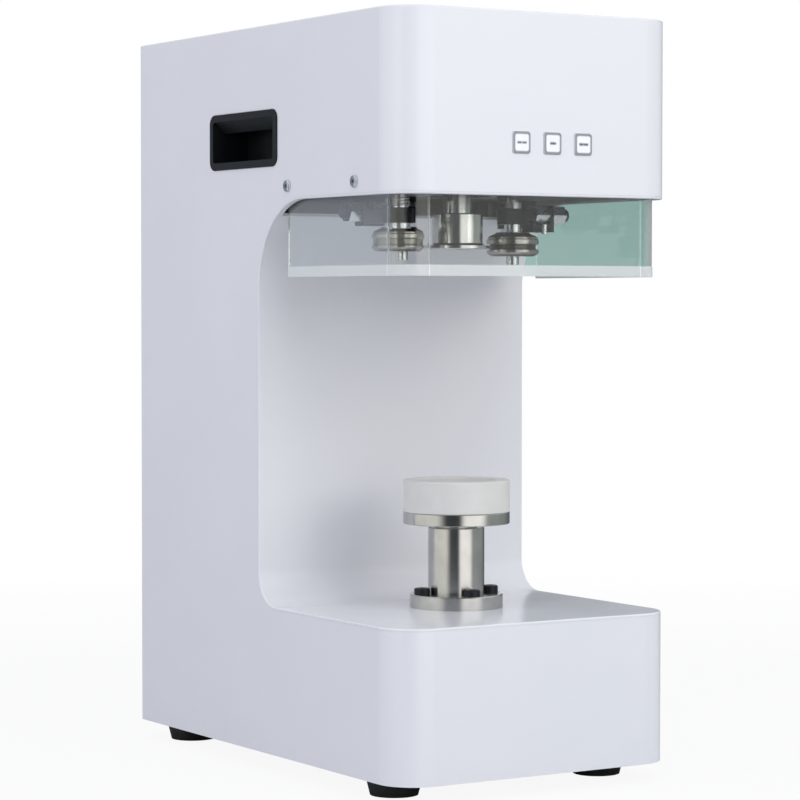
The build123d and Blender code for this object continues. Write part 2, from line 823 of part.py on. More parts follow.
# Spindle shaft: nose in the chuck, neck under the bearings, journal and pulley seat
chuck_face_depth = 5.0
chuck_web = 2.0
chuck_low = head_z - chuck_drop
chuck_top = chuck_low + chuck_height
nose_low = chuck_low + chuck_face_depth + chuck_web
spindle_edge = 1.0
spindle_pulley_low = collar_top + 3.0
spindle_pulley_top = spindle_pulley_low + main_belt_width + 2 * (belt_side_gap + pulley_flange_thickness)
spindle_top = spindle_pulley_top + 5.0
chuck_bolt_radius = 2.5
chuck_bolt_depth = 14.0
with BuildPart() as spindle_shaft:
    with BuildSketch(Plane.XZ.offset(-axis_y)):
        with BuildLine():
            Polyline(
                (0, nose_low),
                (spindle_nose_radius, nose_low),
                (spindle_nose_radius, chuck_top),
                (spindle_neck_radius, chuck_top),
                (spindle_neck_radius, bearing_low - running_gap),
                (spindle_radius, bearing_low - running_gap),
                (spindle_radius, spindle_top - spindle_edge),
                (spindle_radius - spindle_edge, spindle_top),
                (0, spindle_top),
                close=True,
            )
        make_face()
    revolve(axis=Axis((0, axis_y, 0), (0, 0, 1)))
    with BuildSketch(Plane.XY.offset(nose_low)):
        with Locations((0, axis_y)):
            Circle(chuck_bolt_radius + running_gap)
    extrude(amount=chuck_bolt_depth, mode=Mode.SUBTRACT)
save(spindle_shaft, "spindle_shaft")

# Seaming chuck, with the bolt that holds it on the spindle nose
chuck_pocket_radius = 9.0
chuck_bevel = 1.5
chuck_bevel_height = 0.8
chuck_neck_rise = 2.0
chuck_edge = 1.0
chuck_bolt_head = 4.0
chuck_bolt_socket = 2.4
chuck_web_low = nose_low - chuck_web
chuck_bolt_top = chuck_web_low - seam_gap
with BuildPart() as seaming_chuck:
    with BuildSketch(Plane.XZ.offset(-axis_y)):
        with BuildLine():
            Polyline(
                (chuck_pocket_radius, chuck_low),
                (chuck_rim_radius - chuck_bevel, chuck_low),
                (chuck_rim_radius, chuck_low + chuck_bevel_height),
                (chuck_rim_radius, chuck_low + chuck_rim_height),
                (chuck_radius + chuck_bevel, chuck_low + chuck_rim_height + chuck_bevel_height),
                (chuck_radius, chuck_low + chuck_rim_height + chuck_neck_rise),
                (chuck_radius, chuck_top - chuck_edge),
                (chuck_radius - chuck_edge, chuck_top),
                (spindle_nose_radius + running_gap, chuck_top),
                (spindle_nose_radius + running_gap, nose_low - running_gap),
                (chuck_bolt_radius + fit_gap, nose_low - running_gap),
                (chuck_bolt_radius + fit_gap, chuck_web_low),
                (chuck_pocket_radius, chuck_web_low),
                close=True,
            )
        make_face()
    revolve(axis=Axis((0, axis_y, 0), (0, 0, 1)))
    with BuildSketch(Plane.XY.offset(chuck_bolt_top)):
        with Locations((0, axis_y)):
            Circle(2 * chuck_bolt_radius)
    extrude(amount=-chuck_bolt_head)
    with BuildSketch(Plane.XY.offset(chuck_bolt_top)):
        with Locations((0, axis_y)):
            Circle(chuck_bolt_radius)
    extrude(amount=chuck_bolt_depth)
    with BuildSketch(Plane.XY.offset(chuck_bolt_top - chuck_bolt_head)):
        with Locations((0, axis_y)):
            RegularPolygon(chuck_bolt_socket, 6)
    extrude(amount=chuck_bolt_socket, mode=Mode.SUBTRACT)
save(seaming_chuck, "seaming_chuck")

# Spindle pulley
with BuildPart() as spindle_pulley:
    with BuildSketch(Plane.XZ.offset(-axis_y)):
        add(
            flanged_pulley(
                spindle_pulley_radius, spindle_radius + running_gap, spindle_pulley_low, main_belt_width
            )
        )
    revolve(axis=Axis((0, axis_y, 0), (0, 0, 1)))
save(spindle_pulley, "spindle_pulley")

# Main motor under the head plate, with cooling ribs
motor_rib_count = 6
motor_rib_spacing = 14.0
motor_rib_depth = 2.5
motor_end_round = 6.0
motor_bore_depth = 12.0
motor_bore_rest = 1.0
motor_shaft_low = plate_bottom - motor_bore_depth + motor_bore_rest
motor_rib_middle = plate_bottom - main_motor_height / 2
motor_rib_zs = [
    motor_rib_middle + (step - (motor_rib_count - 1) / 2) * motor_rib_spacing
    for step in range(motor_rib_count)
]
with BuildPart() as main_motor:
    with BuildSketch(Plane.XY.offset(plate_bottom)):
        with Locations((0, motor_y)):
            Circle(main_motor_radius)
    extrude(amount=-main_motor_height)
    fillet(main_motor.faces().sort_by(Axis.Z)[0].edges(), motor_end_round)
    with Locations(*[(0, motor_y, z) for z in motor_rib_zs]):
        Torus(main_motor_radius + 0.5, motor_rib_depth, mode=Mode.SUBTRACT)
    with BuildSketch(Plane.XY.offset(plate_bottom)):
        with Locations((0, motor_y)):
            Circle(main_motor_shaft_radius + fit_gap)
    extrude(amount=-motor_bore_depth, mode=Mode.SUBTRACT)
save(main_motor, "main_motor")


shaft_show = 2.0


def motor_drive(x, y, radius, shaft_radius, low, belt_width, shaft_low):
    """Motor shaft with the flanged pulley that sits on it."""
    high = low + belt_width + 2 * (belt_side_gap + pulley_flange_thickness)
    with BuildPart() as drive:
        with BuildSketch(Plane.XY.offset(shaft_low)):
            Circle(shaft_radius)
        extrude(amount=high + shaft_show - shaft_low)
        with BuildSketch(Plane.XZ):
            add(flanged_pulley(radius, shaft_radius + running_gap, low, belt_width))
        revolve(axis=Axis.Z)
    return drive.part.moved(Location((x, y, 0)))


with BuildPart() as motor_pulley:
    add(
        motor_drive(
            0,
            motor_y,
            motor_pulley_radius,
            main_motor_shaft_radius,
            spindle_pulley_low,
            main_belt_width,
            motor_shaft_low,
        )
    )
save(motor_pulley, "motor_pulley")

# Main belt
with BuildPart() as main_belt:
    with BuildSketch(Plane.XY.offset(spindle_pulley_low + pulley_flange_thickness + belt_side_gap)):
        add(
            belt_loop(
                (0, axis_y), spindle_pulley_radius, (0, motor_y), motor_pulley_radius, main_belt_thickness
            )
        )
    extrude(amount=main_belt_width)
save(main_belt, "main_belt")

# Cam ring: an off-centre disc and its pulley, turning on the housing's collar
cam_radius = cam_clear_span - cam_gap
cam_lead_angle = follower_angle - 90.0
cam_x = cam_throw * cos(radians(cam_lead_angle))
cam_y = axis_y + cam_throw * sin(radians(cam_lead_angle))
with BuildPart() as cam_ring:
    with BuildSketch(Plane.XY.offset(cam_low)):
        with Locations((cam_x, cam_y)):
            Circle(cam_radius)
    extrude(amount=cam_disc_thickness)
    with BuildSketch(Plane.XZ.offset(-axis_y)):
        add(flanged_pulley(cam_pulley_radius, collar_radius, cam_pulley_low, cam_belt_width))
    revolve(axis=Axis((0, axis_y, 0), (0, 0, 1)))
    with BuildSketch(Plane.XY.offset(cam_low)):
        with Locations((0, axis_y)):
            Circle(collar_radius + running_gap)
    extrude(amount=cam_top - cam_low, mode=Mode.SUBTRACT)
save(cam_ring, "cam_ring")

# Cam motor, its pulley and the cam belt
with BuildPart() as cam_motor:
    with BuildSketch(Plane.XY.offset(plate_bottom)):
        with Locations((cam_motor_x, cam_motor_y)):
            Circle(cam_motor_radius)
    extrude(amount=-cam_motor_height)
    fillet(cam_motor.faces().sort_by(Axis.Z)[0].edges(), motor_end_round / 2)
    with BuildSketch(Plane.XY.offset(plate_bottom)):
        with Locations((cam_motor_x, cam_motor_y)):
            Circle(cam_motor_shaft_radius + fit_gap)
    extrude(amount=-motor_bore_depth, mode=Mode.SUBTRACT)
save(cam_motor, "cam_motor")

with BuildPart() as cam_motor_pulley:
    add(
        motor_drive(
            cam_motor_x,
            cam_motor_y,
            cam_motor_pulley_radius,
            cam_motor_shaft_radius,
            cam_pulley_low,
            cam_belt_width,
            motor_shaft_low,
        )
    )
save(cam_motor_pulley, "cam_motor_pulley")

with BuildPart() as cam_belt:
    with BuildSketch(Plane.XY.offset(cam_pulley_low + pulley_flange_thickness + belt_side_gap)):
        add(
            belt_loop(
                (0, axis_y),
                cam_pulley_radius,
                (cam_motor_x, cam_motor_y),
                cam_motor_pulley_radius,
                cam_belt_thickness,
            )
        )
    extrude(amount=cam_belt_width)
save(cam_belt, "cam_belt")

# Flanged bushes of the two arm pivots
bush_low = plate_bottom + stack_gap
with BuildPart() as pivot_bushes:
    with Locations(*[(x, y, bush_low) for x, y in pivot_places]):
        Cylinder(bush_radius, plate_top - bush_low, align=(Align.CENTER, Align.CENTER, Align.MIN))
    with Locations(*[(x, y, plate_top) for x, y in pivot_places]):
        Cylinder(
            bush_flange_radius, bush_flange_thickness, align=(Align.CENTER, Align.CENTER, Align.MIN)
        )
        Hole(pivot_radius + running_gap)
save(pivot_bushes, "pivot_bushes")

# Seaming arms. Each is built in its own frame, and the second is turned half a turn.
holder_top = head_z - holder_top_drop
holder_low = holder_top - holder_height
block_top = head_z - foot_block_drop
block_low = block_top - foot_block_height
adjuster_z = head_z - adjuster_drop
slide_gap = 0.2
nut_clearance = 0.4
lug_inner_x = holder_outer_x + adjuster_nut_length
lug_outer_x = lug_inner_x + lug_thickness
bolt_head_x = lug_outer_x + adjuster_nut_length + seam_gap
nut_corner = adjuster_nut_half_width / cos(radians(30))
arm_end_y = nut_corner + nut_clearance + arm_end_radius
arm_low = block_low + 4.0
arm_top = holder_top - 3.0
lug_top = holder_top + 3.0
pivot_head_rim = 2.5
pivot_head_height = 4.0
pivot_end_show = 1.5
lever_rim = 5.0
follower_collar = 1.5
holder_step_x = foot_block_inner_x - 2.6
bolt_start_x = holder_step_x + 1.0
stop_pin_radius = 2.3
stop_pin_x = 80.6
stop_pin_show = 1.5
follower_x = follower_distance * cos(radians(follower_angle))
follower_y = follower_distance * sin(radians(follower_angle))


def arm_plane(side, z):
    """Level plane of one arm, seen from the seaming axis."""
    return Plane(origin=(0, axis_y, z), x_dir=(side, 0, 0), z_dir=(0, 0, 1))


def arm_cross(side, x):
    """Plane across one arm's adjusting bolt, facing away from the seaming axis."""
    return Plane(
        origin=(side * x, axis_y, adjuster_z), x_dir=(0, side, 0), z_dir=(side, 0, 0)
    )


def roller_lift(side):
    """Extra height of one side's roller: the second roller runs a little higher."""
    return 0 if side > 0 else second_roller_lift


def swing_arm(side):
    """Arm from the pivot hub to the lug and the block that the roller holder slides on."""
    side_low = block_low + roller_lift(side)
    with BuildPart() as arm:
        with BuildSketch(arm_plane(side, arm_low)):
            with Locations((pivot_x, pivot_y)):
                Circle(arm_hub_radius)
            with Locations((lug_inner_x + lug_thickness / 2, arm_end_y)):
                Circle(arm_end_radius)
            make_hull()
        extrude(amount=arm_top - arm_low)
        with BuildSketch(arm_plane(side, side_low)):
            with Locations((lug_inner_x, -lug_half_width)):
                Rectangle(lug_thickness, lug_half_width + arm_end_y, align=(Align.MIN, Align.MIN))
        extrude(amount=lug_top - side_low)
        with BuildSketch(arm_plane(side, side_low)):
            with Locations((foot_block_inner_x, 0)):
                Rectangle(
                    lug_outer_x - foot_block_inner_x,
                    2 * lug_half_width,
                    align=(Align.MIN, Align.CENTER),
                )
        extrude(amount=block_top - side_low)
        with BuildSketch(arm_plane(side, adjuster_z - adjuster_nut_half_width - slide_gap)):
            with Locations((holder_outer_x - 1, 0)):
                Rectangle(
                    adjuster_nut_length + 1, 2 * lug_half_width + 1, align=(Align.MIN, Align.CENTER)
                )
        extrude(amount=lug_top - side_low, mode=Mode.SUBTRACT)
        with BuildSketch(arm_cross(side, lug_outer_x)):
            Circle(adjuster_radius + slide_gap)
        extrude(amount=-lug_thickness, mode=Mode.SUBTRACT)
        with BuildSketch(arm_plane(side, side_low)):
            with Locations((stop_pin_x, -lug_half_width + 1)):
                Circle(stop_pin_radius + running_gap)
            with Locations((pivot_x, pivot_y)):
                Circle(pivot_radius + running_gap)
        extrude(amount=lug_top - side_low, mode=Mode.SUBTRACT)
    return arm


def roller_holder(side):
    """Bar that carries the roller pin and slides on the arm's block."""
    with BuildPart() as holder:
        with BuildSketch(arm_plane(side, holder_low)):
            with Locations((holder_inner_x + holder_half_width, 0)):
                Circle(holder_half_width)
                Rectangle(
                    holder_outer_x - holder_inner_x - holder_half_width,
                    2 * holder_half_width,
                    align=(Align.MIN, Align.CENTER),
                )
        extrude(amount=holder_height)
        with BuildSketch(arm_plane(side, holder_low)):
            with Locations((holder_step_x, 0)):
                Rectangle(
                    holder_outer_x - holder_step_x + 1,
                    2 * holder_half_width + 1,
                    align=(Align.MIN, Align.CENTER),
                )
        extrude(amount=block_top + slide_gap - holder_low, mode=Mode.SUBTRACT)
        with BuildSketch(arm_plane(side, holder_low)):
            with Locations((roller_x, 0)):
                Circle(pin_radius + running_gap)
        extrude(amount=holder_height, mode=Mode.SUBTRACT)
        with BuildSketch(arm_cross(side, holder_outer_x)):
            Circle(adjuster_radius + running_gap)
        extrude(amount=-(holder_outer_x - holder_step_x), mode=Mode.SUBTRACT)
    return holder


groove_rise = 7.5
groove_lip = 1.0
roller_shoulder = 7.5


def roller_low(side):
    """Level of the underside of one side's roller."""
    return head_z - roller_drop - roller_height + roller_lift(side)


def roller_pin(side):
    """Shouldered pin through the holder, with its spacer and end nut."""
    low = roller_low(side)
    pin_low = low - pin_end_length
    spacer_low = low + roller_height + slide_gap
    with BuildPart() as pin:
        with BuildSketch(arm_plane(side, holder_top)):
            with Locations((roller_x, 0)):
                Circle(pin_head_radius)
        extrude(amount=pin_head_height)
        with BuildSketch(arm_plane(side, pin_low)):
            with Locations((roller_x, 0)):
                Circle(pin_radius)
        extrude(amount=holder_top - pin_low)
        with BuildSketch(arm_plane(side, spacer_low)):
            with Locations((roller_x, 0)):
                Circle(pin_shoulder_radius)
                Circle(pin_radius + running_gap, mode=Mode.SUBTRACT)
        extrude(amount=holder_low - spacer_low)
        with BuildSketch(arm_plane(side, pin_low)):
            with Locations((roller_x, 0)):
                Circle(pin_end_radius)
                Circle(pin_radius + running_gap, mode=Mode.SUBTRACT)
        extrude(amount=pin_end_length - slide_gap)
    return pin


def seaming_roller(side):
    """Grooved roller: a deep narrow groove curls the seam, a flat wide one irons it."""
    groove_depth = 2.4 if side > 0 else 1.2
    groove_half = 1.4 if side > 0 else 2.2
    groove_low = groove_rise - groove_half
    groove_high = groove_rise + groove_half
    core = roller_radius - groove_depth
    hub = roller_radius - roller_shoulder
    section = Plane((side * roller_x, axis_y, roller_low(side)), (1, 0, 0), (0, -1, 0))
    with BuildPart() as roller:
        with BuildSketch(section):
            with BuildLine():
                Polyline(
                    (pin_radius + running_gap, 0),
                    (roller_radius - 4, 0),
                    (roller_radius - 1.2, 1.5),
                    (roller_radius, 3),
                    (roller_radius, groove_low - groove_lip),
                    (core, groove_low),
                    (core, groove_high),
                    (roller_radius, groove_high + groove_lip),
                    (roller_radius, roller_height - 6),
                    (roller_radius - 1, roller_height - 5.3),
                    (roller_radius - 1, roller_height - 4.1),
                    (roller_radius - 2, roller_height - 3.1),
                    (hub, roller_height - 0.8),
                    (hub, roller_height),
                    (pin_radius + running_gap, roller_height),
                    close=True,
                )
            make_face()
        revolve(axis=Axis(section.origin, (0, 0, 1)))
    return roller


def adjuster(side):
    """Adjusting bolt with its domed head and its two long nuts, and the stop pin in the block."""
    with BuildPart() as bolt:
        with BuildSketch(arm_cross(side, bolt_head_x)):
            Circle(adjuster_head_radius)
        extrude(amount=adjuster_head_length)
        fillet(bolt.faces().sort_by(Axis.X)[-1 if side > 0 else 0].edges(), adjuster_head_length / 2)
        with BuildSketch(arm_cross(side, bolt_start_x)):
            Circle(adjuster_radius)
        extrude(amount=bolt_head_x - bolt_start_x)
        for nut_x in (holder_outer_x, lug_outer_x):
            with BuildSketch(arm_cross(side, nut_x)):
                RegularPolygon(adjuster_nut_half_width, 6, major_radius=False)
                Circle(adjuster_radius + running_gap, mode=Mode.SUBTRACT)
            extrude(amount=adjuster_nut_length)
        pin_low = block_low + roller_lift(side) - stop_pin_show
        with BuildSketch(arm_plane(side, pin_low)):
            with Locations((stop_pin_x, -lug_half_width + 1)):
                Circle(stop_pin_radius)
        extrude(amount=adjuster_z - adjuster_nut_half_width - slide_gap - pin_low)
    return bolt


def pivot_shaft(side):
    """Headed shaft through the arm hub, the bush in the head plate and the cam lever."""
    with BuildPart() as shaft:
        with BuildSketch(arm_plane(side, arm_low)):
            with Locations((pivot_x, pivot_y)):
                Circle(pivot_radius + pivot_head_rim)
        extrude(amount=-pivot_head_height)
        with BuildSketch(arm_plane(side, arm_low)):
            with Locations((pivot_x, pivot_y)):
                Circle(pivot_radius)
        extrude(amount=lever_top + pivot_end_show - arm_low)
    return shaft


def cam_lever(side):
    """Flat lever from the pivot shaft to the cam follower."""
    with BuildPart() as lever:
        with BuildSketch(arm_plane(side, lever_low)):
            with Locations((pivot_x, pivot_y)):
                Circle(pivot_radius + lever_rim)
            with Locations((follower_x, follower_y)):
                Circle(follower_stud_radius + lever_rim)
            make_hull()
            with Locations((pivot_x, pivot_y)):
                Circle(pivot_radius + running_gap, mode=Mode.SUBTRACT)
            with Locations((follower_x, follower_y)):
                Circle(follower_stud_radius + running_gap, mode=Mode.SUBTRACT)
        extrude(amount=lever_thickness)
    return lever


def cam_follower(side):
    """Stud-type cam follower standing in the lever's end."""
    with BuildPart() as follower:
        with BuildSketch(arm_plane(side, lever_low)):
            with Locations((follower_x, follower_y)):
                Circle(follower_stud_radius)
        extrude(amount=lever_thickness + stack_gap)
        with BuildSketch(arm_plane(side, cam_low + stack_gap)):
            with Locations((follower_x, follower_y)):
                Circle(follower_radius)
        extrude(amount=follower_height)
        with BuildSketch(arm_plane(side, lever_top)):
            with Locations((follower_x, follower_y)):
                Circle(follower_stud_radius + follower_collar)
        extrude(amount=cam_low + stack_gap - lever_top)
    return follower


def return_spring(side):
    """Torsion spring wound round the pivot shaft, on top of the arm's hub."""
    coil_radius = pivot_radius + fit_gap + spring_wire / 2
    coil_low = arm_top + running_gap + spring_wire / 2
    foot = (side * pivot_x, axis_y + side * pivot_y, coil_low)
    with BuildPart() as spring:
        with BuildLine():
            coil = Helix(spring_pitch, spring_pitch * spring_turns, coil_radius, center=foot)
        with BuildSketch(Plane(origin=coil @ 0, z_dir=coil % 0)):
            Circle(spring_wire / 2)
        sweep(is_frenet=True)
    return spring


for number, side in ((1, 1), (2, -1)):
    arm_name = "arm_" + str(number) + "_"
    save(swing_arm(side), arm_name + "swing_arm")
    save(roller_holder(side), arm_name + "roller_holder")
    save(roller_pin(side), arm_name + "roller_pin")
    save(adjuster(side), arm_name + "adjuster")
    save(pivot_shaft(side), arm_name + "pivot_shaft")
    save(cam_lever(side), arm_name + "cam_lever")
    save(cam_follower(side), arm_name + "cam_follower")
    save(seaming_roller(side), "roller_" + str(number))
    save(return_spring(side), arm_name + "spring")

# Lift post, a flanged tube bolted through the deck
post_top = deck_z + post_height
turned_edge = 0.8
with BuildPart() as lift_post:
    with BuildSketch(Plane.XZ.offset(-axis_y)):
        with BuildLine():
            Polyline(
                (plunger_radius + running_gap, deck_z - spigot_depth),
                (spigot_radius, deck_z - spigot_depth),
                (spigot_radius, deck_z),
                (flange_radius, deck_z),
                (flange_radius, deck_z + flange_thickness - turned_edge),
                (flange_radius - turned_edge, deck_z + flange_thickness),
                (post_radius, deck_z + flange_thickness),
                (post_radius, post_top - turned_edge),
                (post_radius - turned_edge, post_top),
                (plunger_radius + running_gap, post_top),
                close=True,
            )
        make_face()
    revolve(axis=Axis((0, axis_y, 0), (0, 0, 1)))
    with Locations((0, axis_y, deck_z + flange_thickness)):
        with PolarLocations(post_screw_circle, 4, start_angle=post_screw_turn):
            Hole(post_screw_radius + fit_gap)
save(lift_post, "lift_post")


def cap_screw(head_radius, head_height, shank_radius, length):
    """Socket cap screw standing on the origin plane, with its hexagon socket."""
    with BuildPart() as screw:
        with BuildSketch():
            Circle(head_radius)
        extrude(amount=head_height)
        fillet(screw.faces().sort_by(Axis.Z)[-1].edges(), head_height / 4)
        with BuildSketch(Plane.XY.offset(head_height)):
            RegularPolygon(head_radius / 2, 6)
        extrude(amount=-head_height / 2, mode=Mode.SUBTRACT)
        with BuildSketch():
            Circle(shank_radius)
        extrude(amount=-length)
    return screw.part


post_screw = cap_screw(
    post_screw_head,
    post_screw_head_height,
    post_screw_radius,
    flange_thickness + liner_wall + deck_frame_thickness,
)
screw_end_gap = 1.0
housing_screw = cap_screw(
    1.7 * housing_screw_radius,
    2 * housing_screw_radius,
    housing_screw_radius,
    housing_flange_thickness + head_plate_thickness - screw_end_gap,
)
with BuildPart() as cap_screws:
    with Locations((0, axis_y, deck_z + flange_thickness)):
        with PolarLocations(post_screw_circle, 4, start_angle=post_screw_turn):
            add(post_screw)
    with Locations(Location((0, axis_y, plate_bottom), (180, 0, 0))):
        with PolarLocations(housing_screw_circle, 4, start_angle=45):
            add(housing_screw)
save(cap_screws, "cap_screws")

# Lift plunger, bored for the screw below and for the table's bearing above
plunger_top = post_top + plunger_show
plunger_low = plunger_top - plunger_length
bearing_seat = plunger_top - table_bearing_width - stack_gap
bearing_ledge = 2.0
bearing_ledge_height = 4.0
with BuildPart() as lift_plunger:
    with BuildSketch(Plane.XZ.offset(-axis_y)):
        with BuildLine():
            Polyline(
                (nut_radius + running_gap, plunger_low),
                (plunger_radius, plunger_low),
                (plunger_radius, plunger_top),
                (table_bearing_radius + running_gap, plunger_top),
                (table_bearing_radius + running_gap, bearing_seat),
                (table_bearing_bore + bearing_ledge, bearing_seat),
                (table_bearing_bore + bearing_ledge, bearing_seat - bearing_ledge_height),
                (plunger_bore, bearing_seat - bearing_ledge_height),
                (plunger_bore, plunger_low + nut_length + running_gap),
                (nut_radius + running_gap, plunger_low + nut_length + running_gap),
                close=True,
            )
        make_face()
    revolve(axis=Axis((0, axis_y, 0), (0, 0, 1)))
save(lift_plunger, "lift_plunger")

with BuildPart() as lift_nut:
    with BuildSketch(Plane.XY.offset(plunger_low)):
        with Locations((0, axis_y)):
            Circle(nut_radius)
            Circle(screw_radius + running_gap, mode=Mode.SUBTRACT)
    extrude(amount=nut_length)
save(lift_nut, "lift_nut")

with BuildPart() as table_bearing:
    with BuildSketch(Plane((0, axis_y, bearing_seat + running_gap), (1, 0, 0), (0, -1, 0))):
        add(bearing(table_bearing_bore + running_gap, table_bearing_radius, table_bearing_width))
    revolve(axis=Axis((0, axis_y, 0), (0, 0, 1)))
save(table_bearing, "table_bearing")

# Turntable disc with its stub shaft and the spigot that centres the seat
table_low = plunger_top + fit_gap
table_top = plunger_top + table_thickness
seat_spigot_radius = 10.0
seat_spigot_height = 4.0
table_edge = 0.6
with BuildPart() as table_disc:
    with BuildSketch(Plane.XY.offset(table_low)):
        with Locations((0, axis_y)):
            Circle(table_radius)
    extrude(amount=table_top - table_low)
    chamfer(table_disc.edges().filter_by(GeomType.CIRCLE), table_edge)
    with BuildSketch(Plane.XY.offset(table_top)):
        with Locations((0, axis_y)):
            Circle(seat_spigot_radius)
    extrude(amount=seat_spigot_height)
    with BuildSketch(Plane.XY.offset(table_low)):
        with Locations((0, axis_y)):
            Circle(table_bearing_bore)
    extrude(amount=-(table_bearing_width + fit_gap))
save(table_disc, "table_disc")

# Nylon can seat
seat_top = table_top + seat_height
seat_bore = seat_spigot_radius + slide_gap
seat_bore_top = table_top + seat_spigot_height + slide_gap
with BuildPart() as can_seat:
    with BuildSketch(Plane.XZ.offset(-axis_y)):
        with BuildLine():
            Polyline(
                (0, seat_bore_top),
                (seat_bore, seat_bore_top),
                (seat_bore, table_top),
                (table_radius, table_top),
                (table_radius, seat_top),
                (seat_recess_radius, seat_top),
                (seat_recess_radius, seat_top - seat_recess_depth),
                (0, seat_top - seat_recess_depth),
                close=True,
            )
        make_face()
    revolve(axis=Axis((0, axis_y, 0), (0, 0, 1)))
    fillet(can_seat.edges().filter_by(GeomType.CIRCLE).group_by(Axis.Z)[-1], edge_round)
    outer_rims = can_seat.edges().filter_by(GeomType.CIRCLE).group_by(SortBy.RADIUS)[-1]
    fillet(outer_rims.sort_by(Axis.Z)[0], turned_edge)
save(can_seat, "can_seat")

# Lift motor on the base tray
motor_top = tray_top + lift_motor_height
lift_motor_corner = 4.0
motor_boss_radius = 19.0
motor_boss_height = 1.6
with BuildPart() as lift_motor:
    with Locations((0, axis_y, tray_top)):
        Box(
            lift_motor_width,
            lift_motor_width,
            lift_motor_height,
            align=(Align.CENTER, Align.CENTER, Align.MIN),
        )
    chamfer(lift_motor.edges().filter_by(Axis.Z), lift_motor_corner)
    with BuildSketch(Plane.XY.offset(motor_top)):
        with Locations((0, axis_y)):
            Circle(motor_boss_radius)
    extrude(amount=motor_boss_height)
    with BuildSketch(Plane.XY.offset(motor_top + motor_boss_height)):
        with Locations((0, axis_y)):
            Circle(motor_shaft_radius + fit_gap)
    extrude(amount=-motor_bore_depth, mode=Mode.SUBTRACT)
save(lift_motor, "lift_motor")

# Lead screw with the coupling and the motor shaft that drive it
coupling_gap = 1.5
coupling_low = motor_top + motor_boss_height + coupling_gap
coupling_high = plunger_low - coupling_gap
coupling_middle = (coupling_low + coupling_high) / 2
screw_end_show = 2.0
screw_top = plunger_low + lift_stroke + nut_length + screw_end_show
lift_shaft_low = motor_top + motor_boss_height - motor_bore_depth + motor_bore_rest
with BuildPart() as lead_screw:
    with BuildSketch(Plane.XY.offset(coupling_low)):
        with Locations((0, axis_y)):
            Circle(coupling_radius)
    extrude(amount=coupling_high - coupling_low)
    chamfer(lead_screw.edges().filter_by(GeomType.CIRCLE), turned_edge)
    with BuildSketch(Plane.XY.offset(coupling_middle)):
        with Locations((0, axis_y)):
            Circle(screw_radius + running_gap)
    extrude(amount=coupling_high - coupling_middle, mode=Mode.SUBTRACT)
    with BuildSketch(Plane.XY.offset(coupling_low)):
        with Locations((0, axis_y)):
            Circle(motor_shaft_radius + running_gap)
    extrude(amount=coupling_middle - coupling_low, mode=Mode.SUBTRACT)
    with BuildSketch(Plane.XY.offset(coupling_middle + running_gap)):
        with Locations((0, axis_y)):
            Circle(screw_radius)
    extrude(amount=screw_top - coupling_middle - running_gap)
    with BuildSketch(Plane.XY.offset(lift_shaft_low)):
        with Locations((0, axis_y)):
            Circle(motor_shaft_radius)
    extrude(amount=coupling_middle - motor_bore_rest - lift_shaft_low)
save(lead_screw, "lead_screw")

# Power supply on the base tray, behind the column frame
supply_front = column_rear + column_tab + supply_gap
supply_rear = shell_rear - inlet_depth - supply_gap
with BuildPart() as power_supply:
    with Locations((0, supply_front, tray_top)):
        Box(
            supply_length,
            supply_rear - supply_front,
            supply_height,
            align=(Align.CENTER, Align.MIN, Align.MIN),
        )
    chamfer(power_supply.faces().sort_by(Axis.Z)[-1].edges(), tray_wall)
save(power_supply, "power_supply")

# Mains inlet in the rear cover, with a rocker switch above the socket
inlet_margin = 5.5
rocker_z = inlet_z + inlet_height / 2 - rocker_height / 2 - inlet_margin
socket_z = inlet_z - inlet_height / 2 + socket_height / 2 + inlet_margin
socket_depth = 16.0
blade_length = 12.0
blade_width = 2.0
blade_height = 4.0
blade_spacing = 7.0
blade_stagger = 2.0
blade_places = [
    (inlet_x, socket_z + blade_stagger),
    (inlet_x - blade_spacing, socket_z - blade_stagger),
    (inlet_x + blade_spacing, socket_z - blade_stagger),
]
inlet_corner = 3.0
socket_corner = 2.5
rocker_pivot_y = back_y - 2.0
rocker_pin_radius = 1.2
rocker_pin_reach = 1.5
rocker_gap = 0.5
rocker_ear = 2.0
rocker_dip = 1.2
rocker_back = 4.0
rocker_tuck = 2.0
pocket_depth = 12.0
rear_face = Plane.XZ.offset(-back_y - proud)
with BuildPart() as power_inlet:
    with BuildSketch(rear_face):
        with Locations((inlet_x, inlet_z)):
            RectangleRounded(inlet_width, inlet_height, inlet_corner)
    extrude(amount=proud)
    with BuildSketch(Plane.XZ.offset(-back_y)):
        with Locations((inlet_x, inlet_z)):
            Rectangle(
                inlet_width - 2 * (inlet_rim + fit_gap), inlet_height - 2 * (inlet_rim + fit_gap)
            )
    extrude(amount=inlet_depth)
    with BuildSketch(rear_face):
        with Locations((inlet_x, socket_z)):
            RectangleRounded(socket_width, socket_height, socket_corner)
    extrude(amount=socket_depth, mode=Mode.SUBTRACT)
    with BuildSketch(rear_face.offset(socket_depth)):
        with Locations(*blade_places):
            Rectangle(blade_width, blade_height)
    extrude(amount=-blade_length)
    with BuildSketch(rear_face):
        with Locations((inlet_x, rocker_z)):
            Rectangle(rocker_width + 2 * rocker_gap, rocker_height + 2 * rocker_gap)
    extrude(amount=pocket_depth, mode=Mode.SUBTRACT)
    with BuildSketch(Plane.YZ.offset(inlet_x)):
        with Locations((rocker_pivot_y, rocker_z)):
            Circle(rocker_pin_radius + running_gap)
    extrude(amount=rocker_width / 2 + rocker_pin_reach + rocker_gap, both=True, mode=Mode.SUBTRACT)
save(power_inlet, "power_inlet")

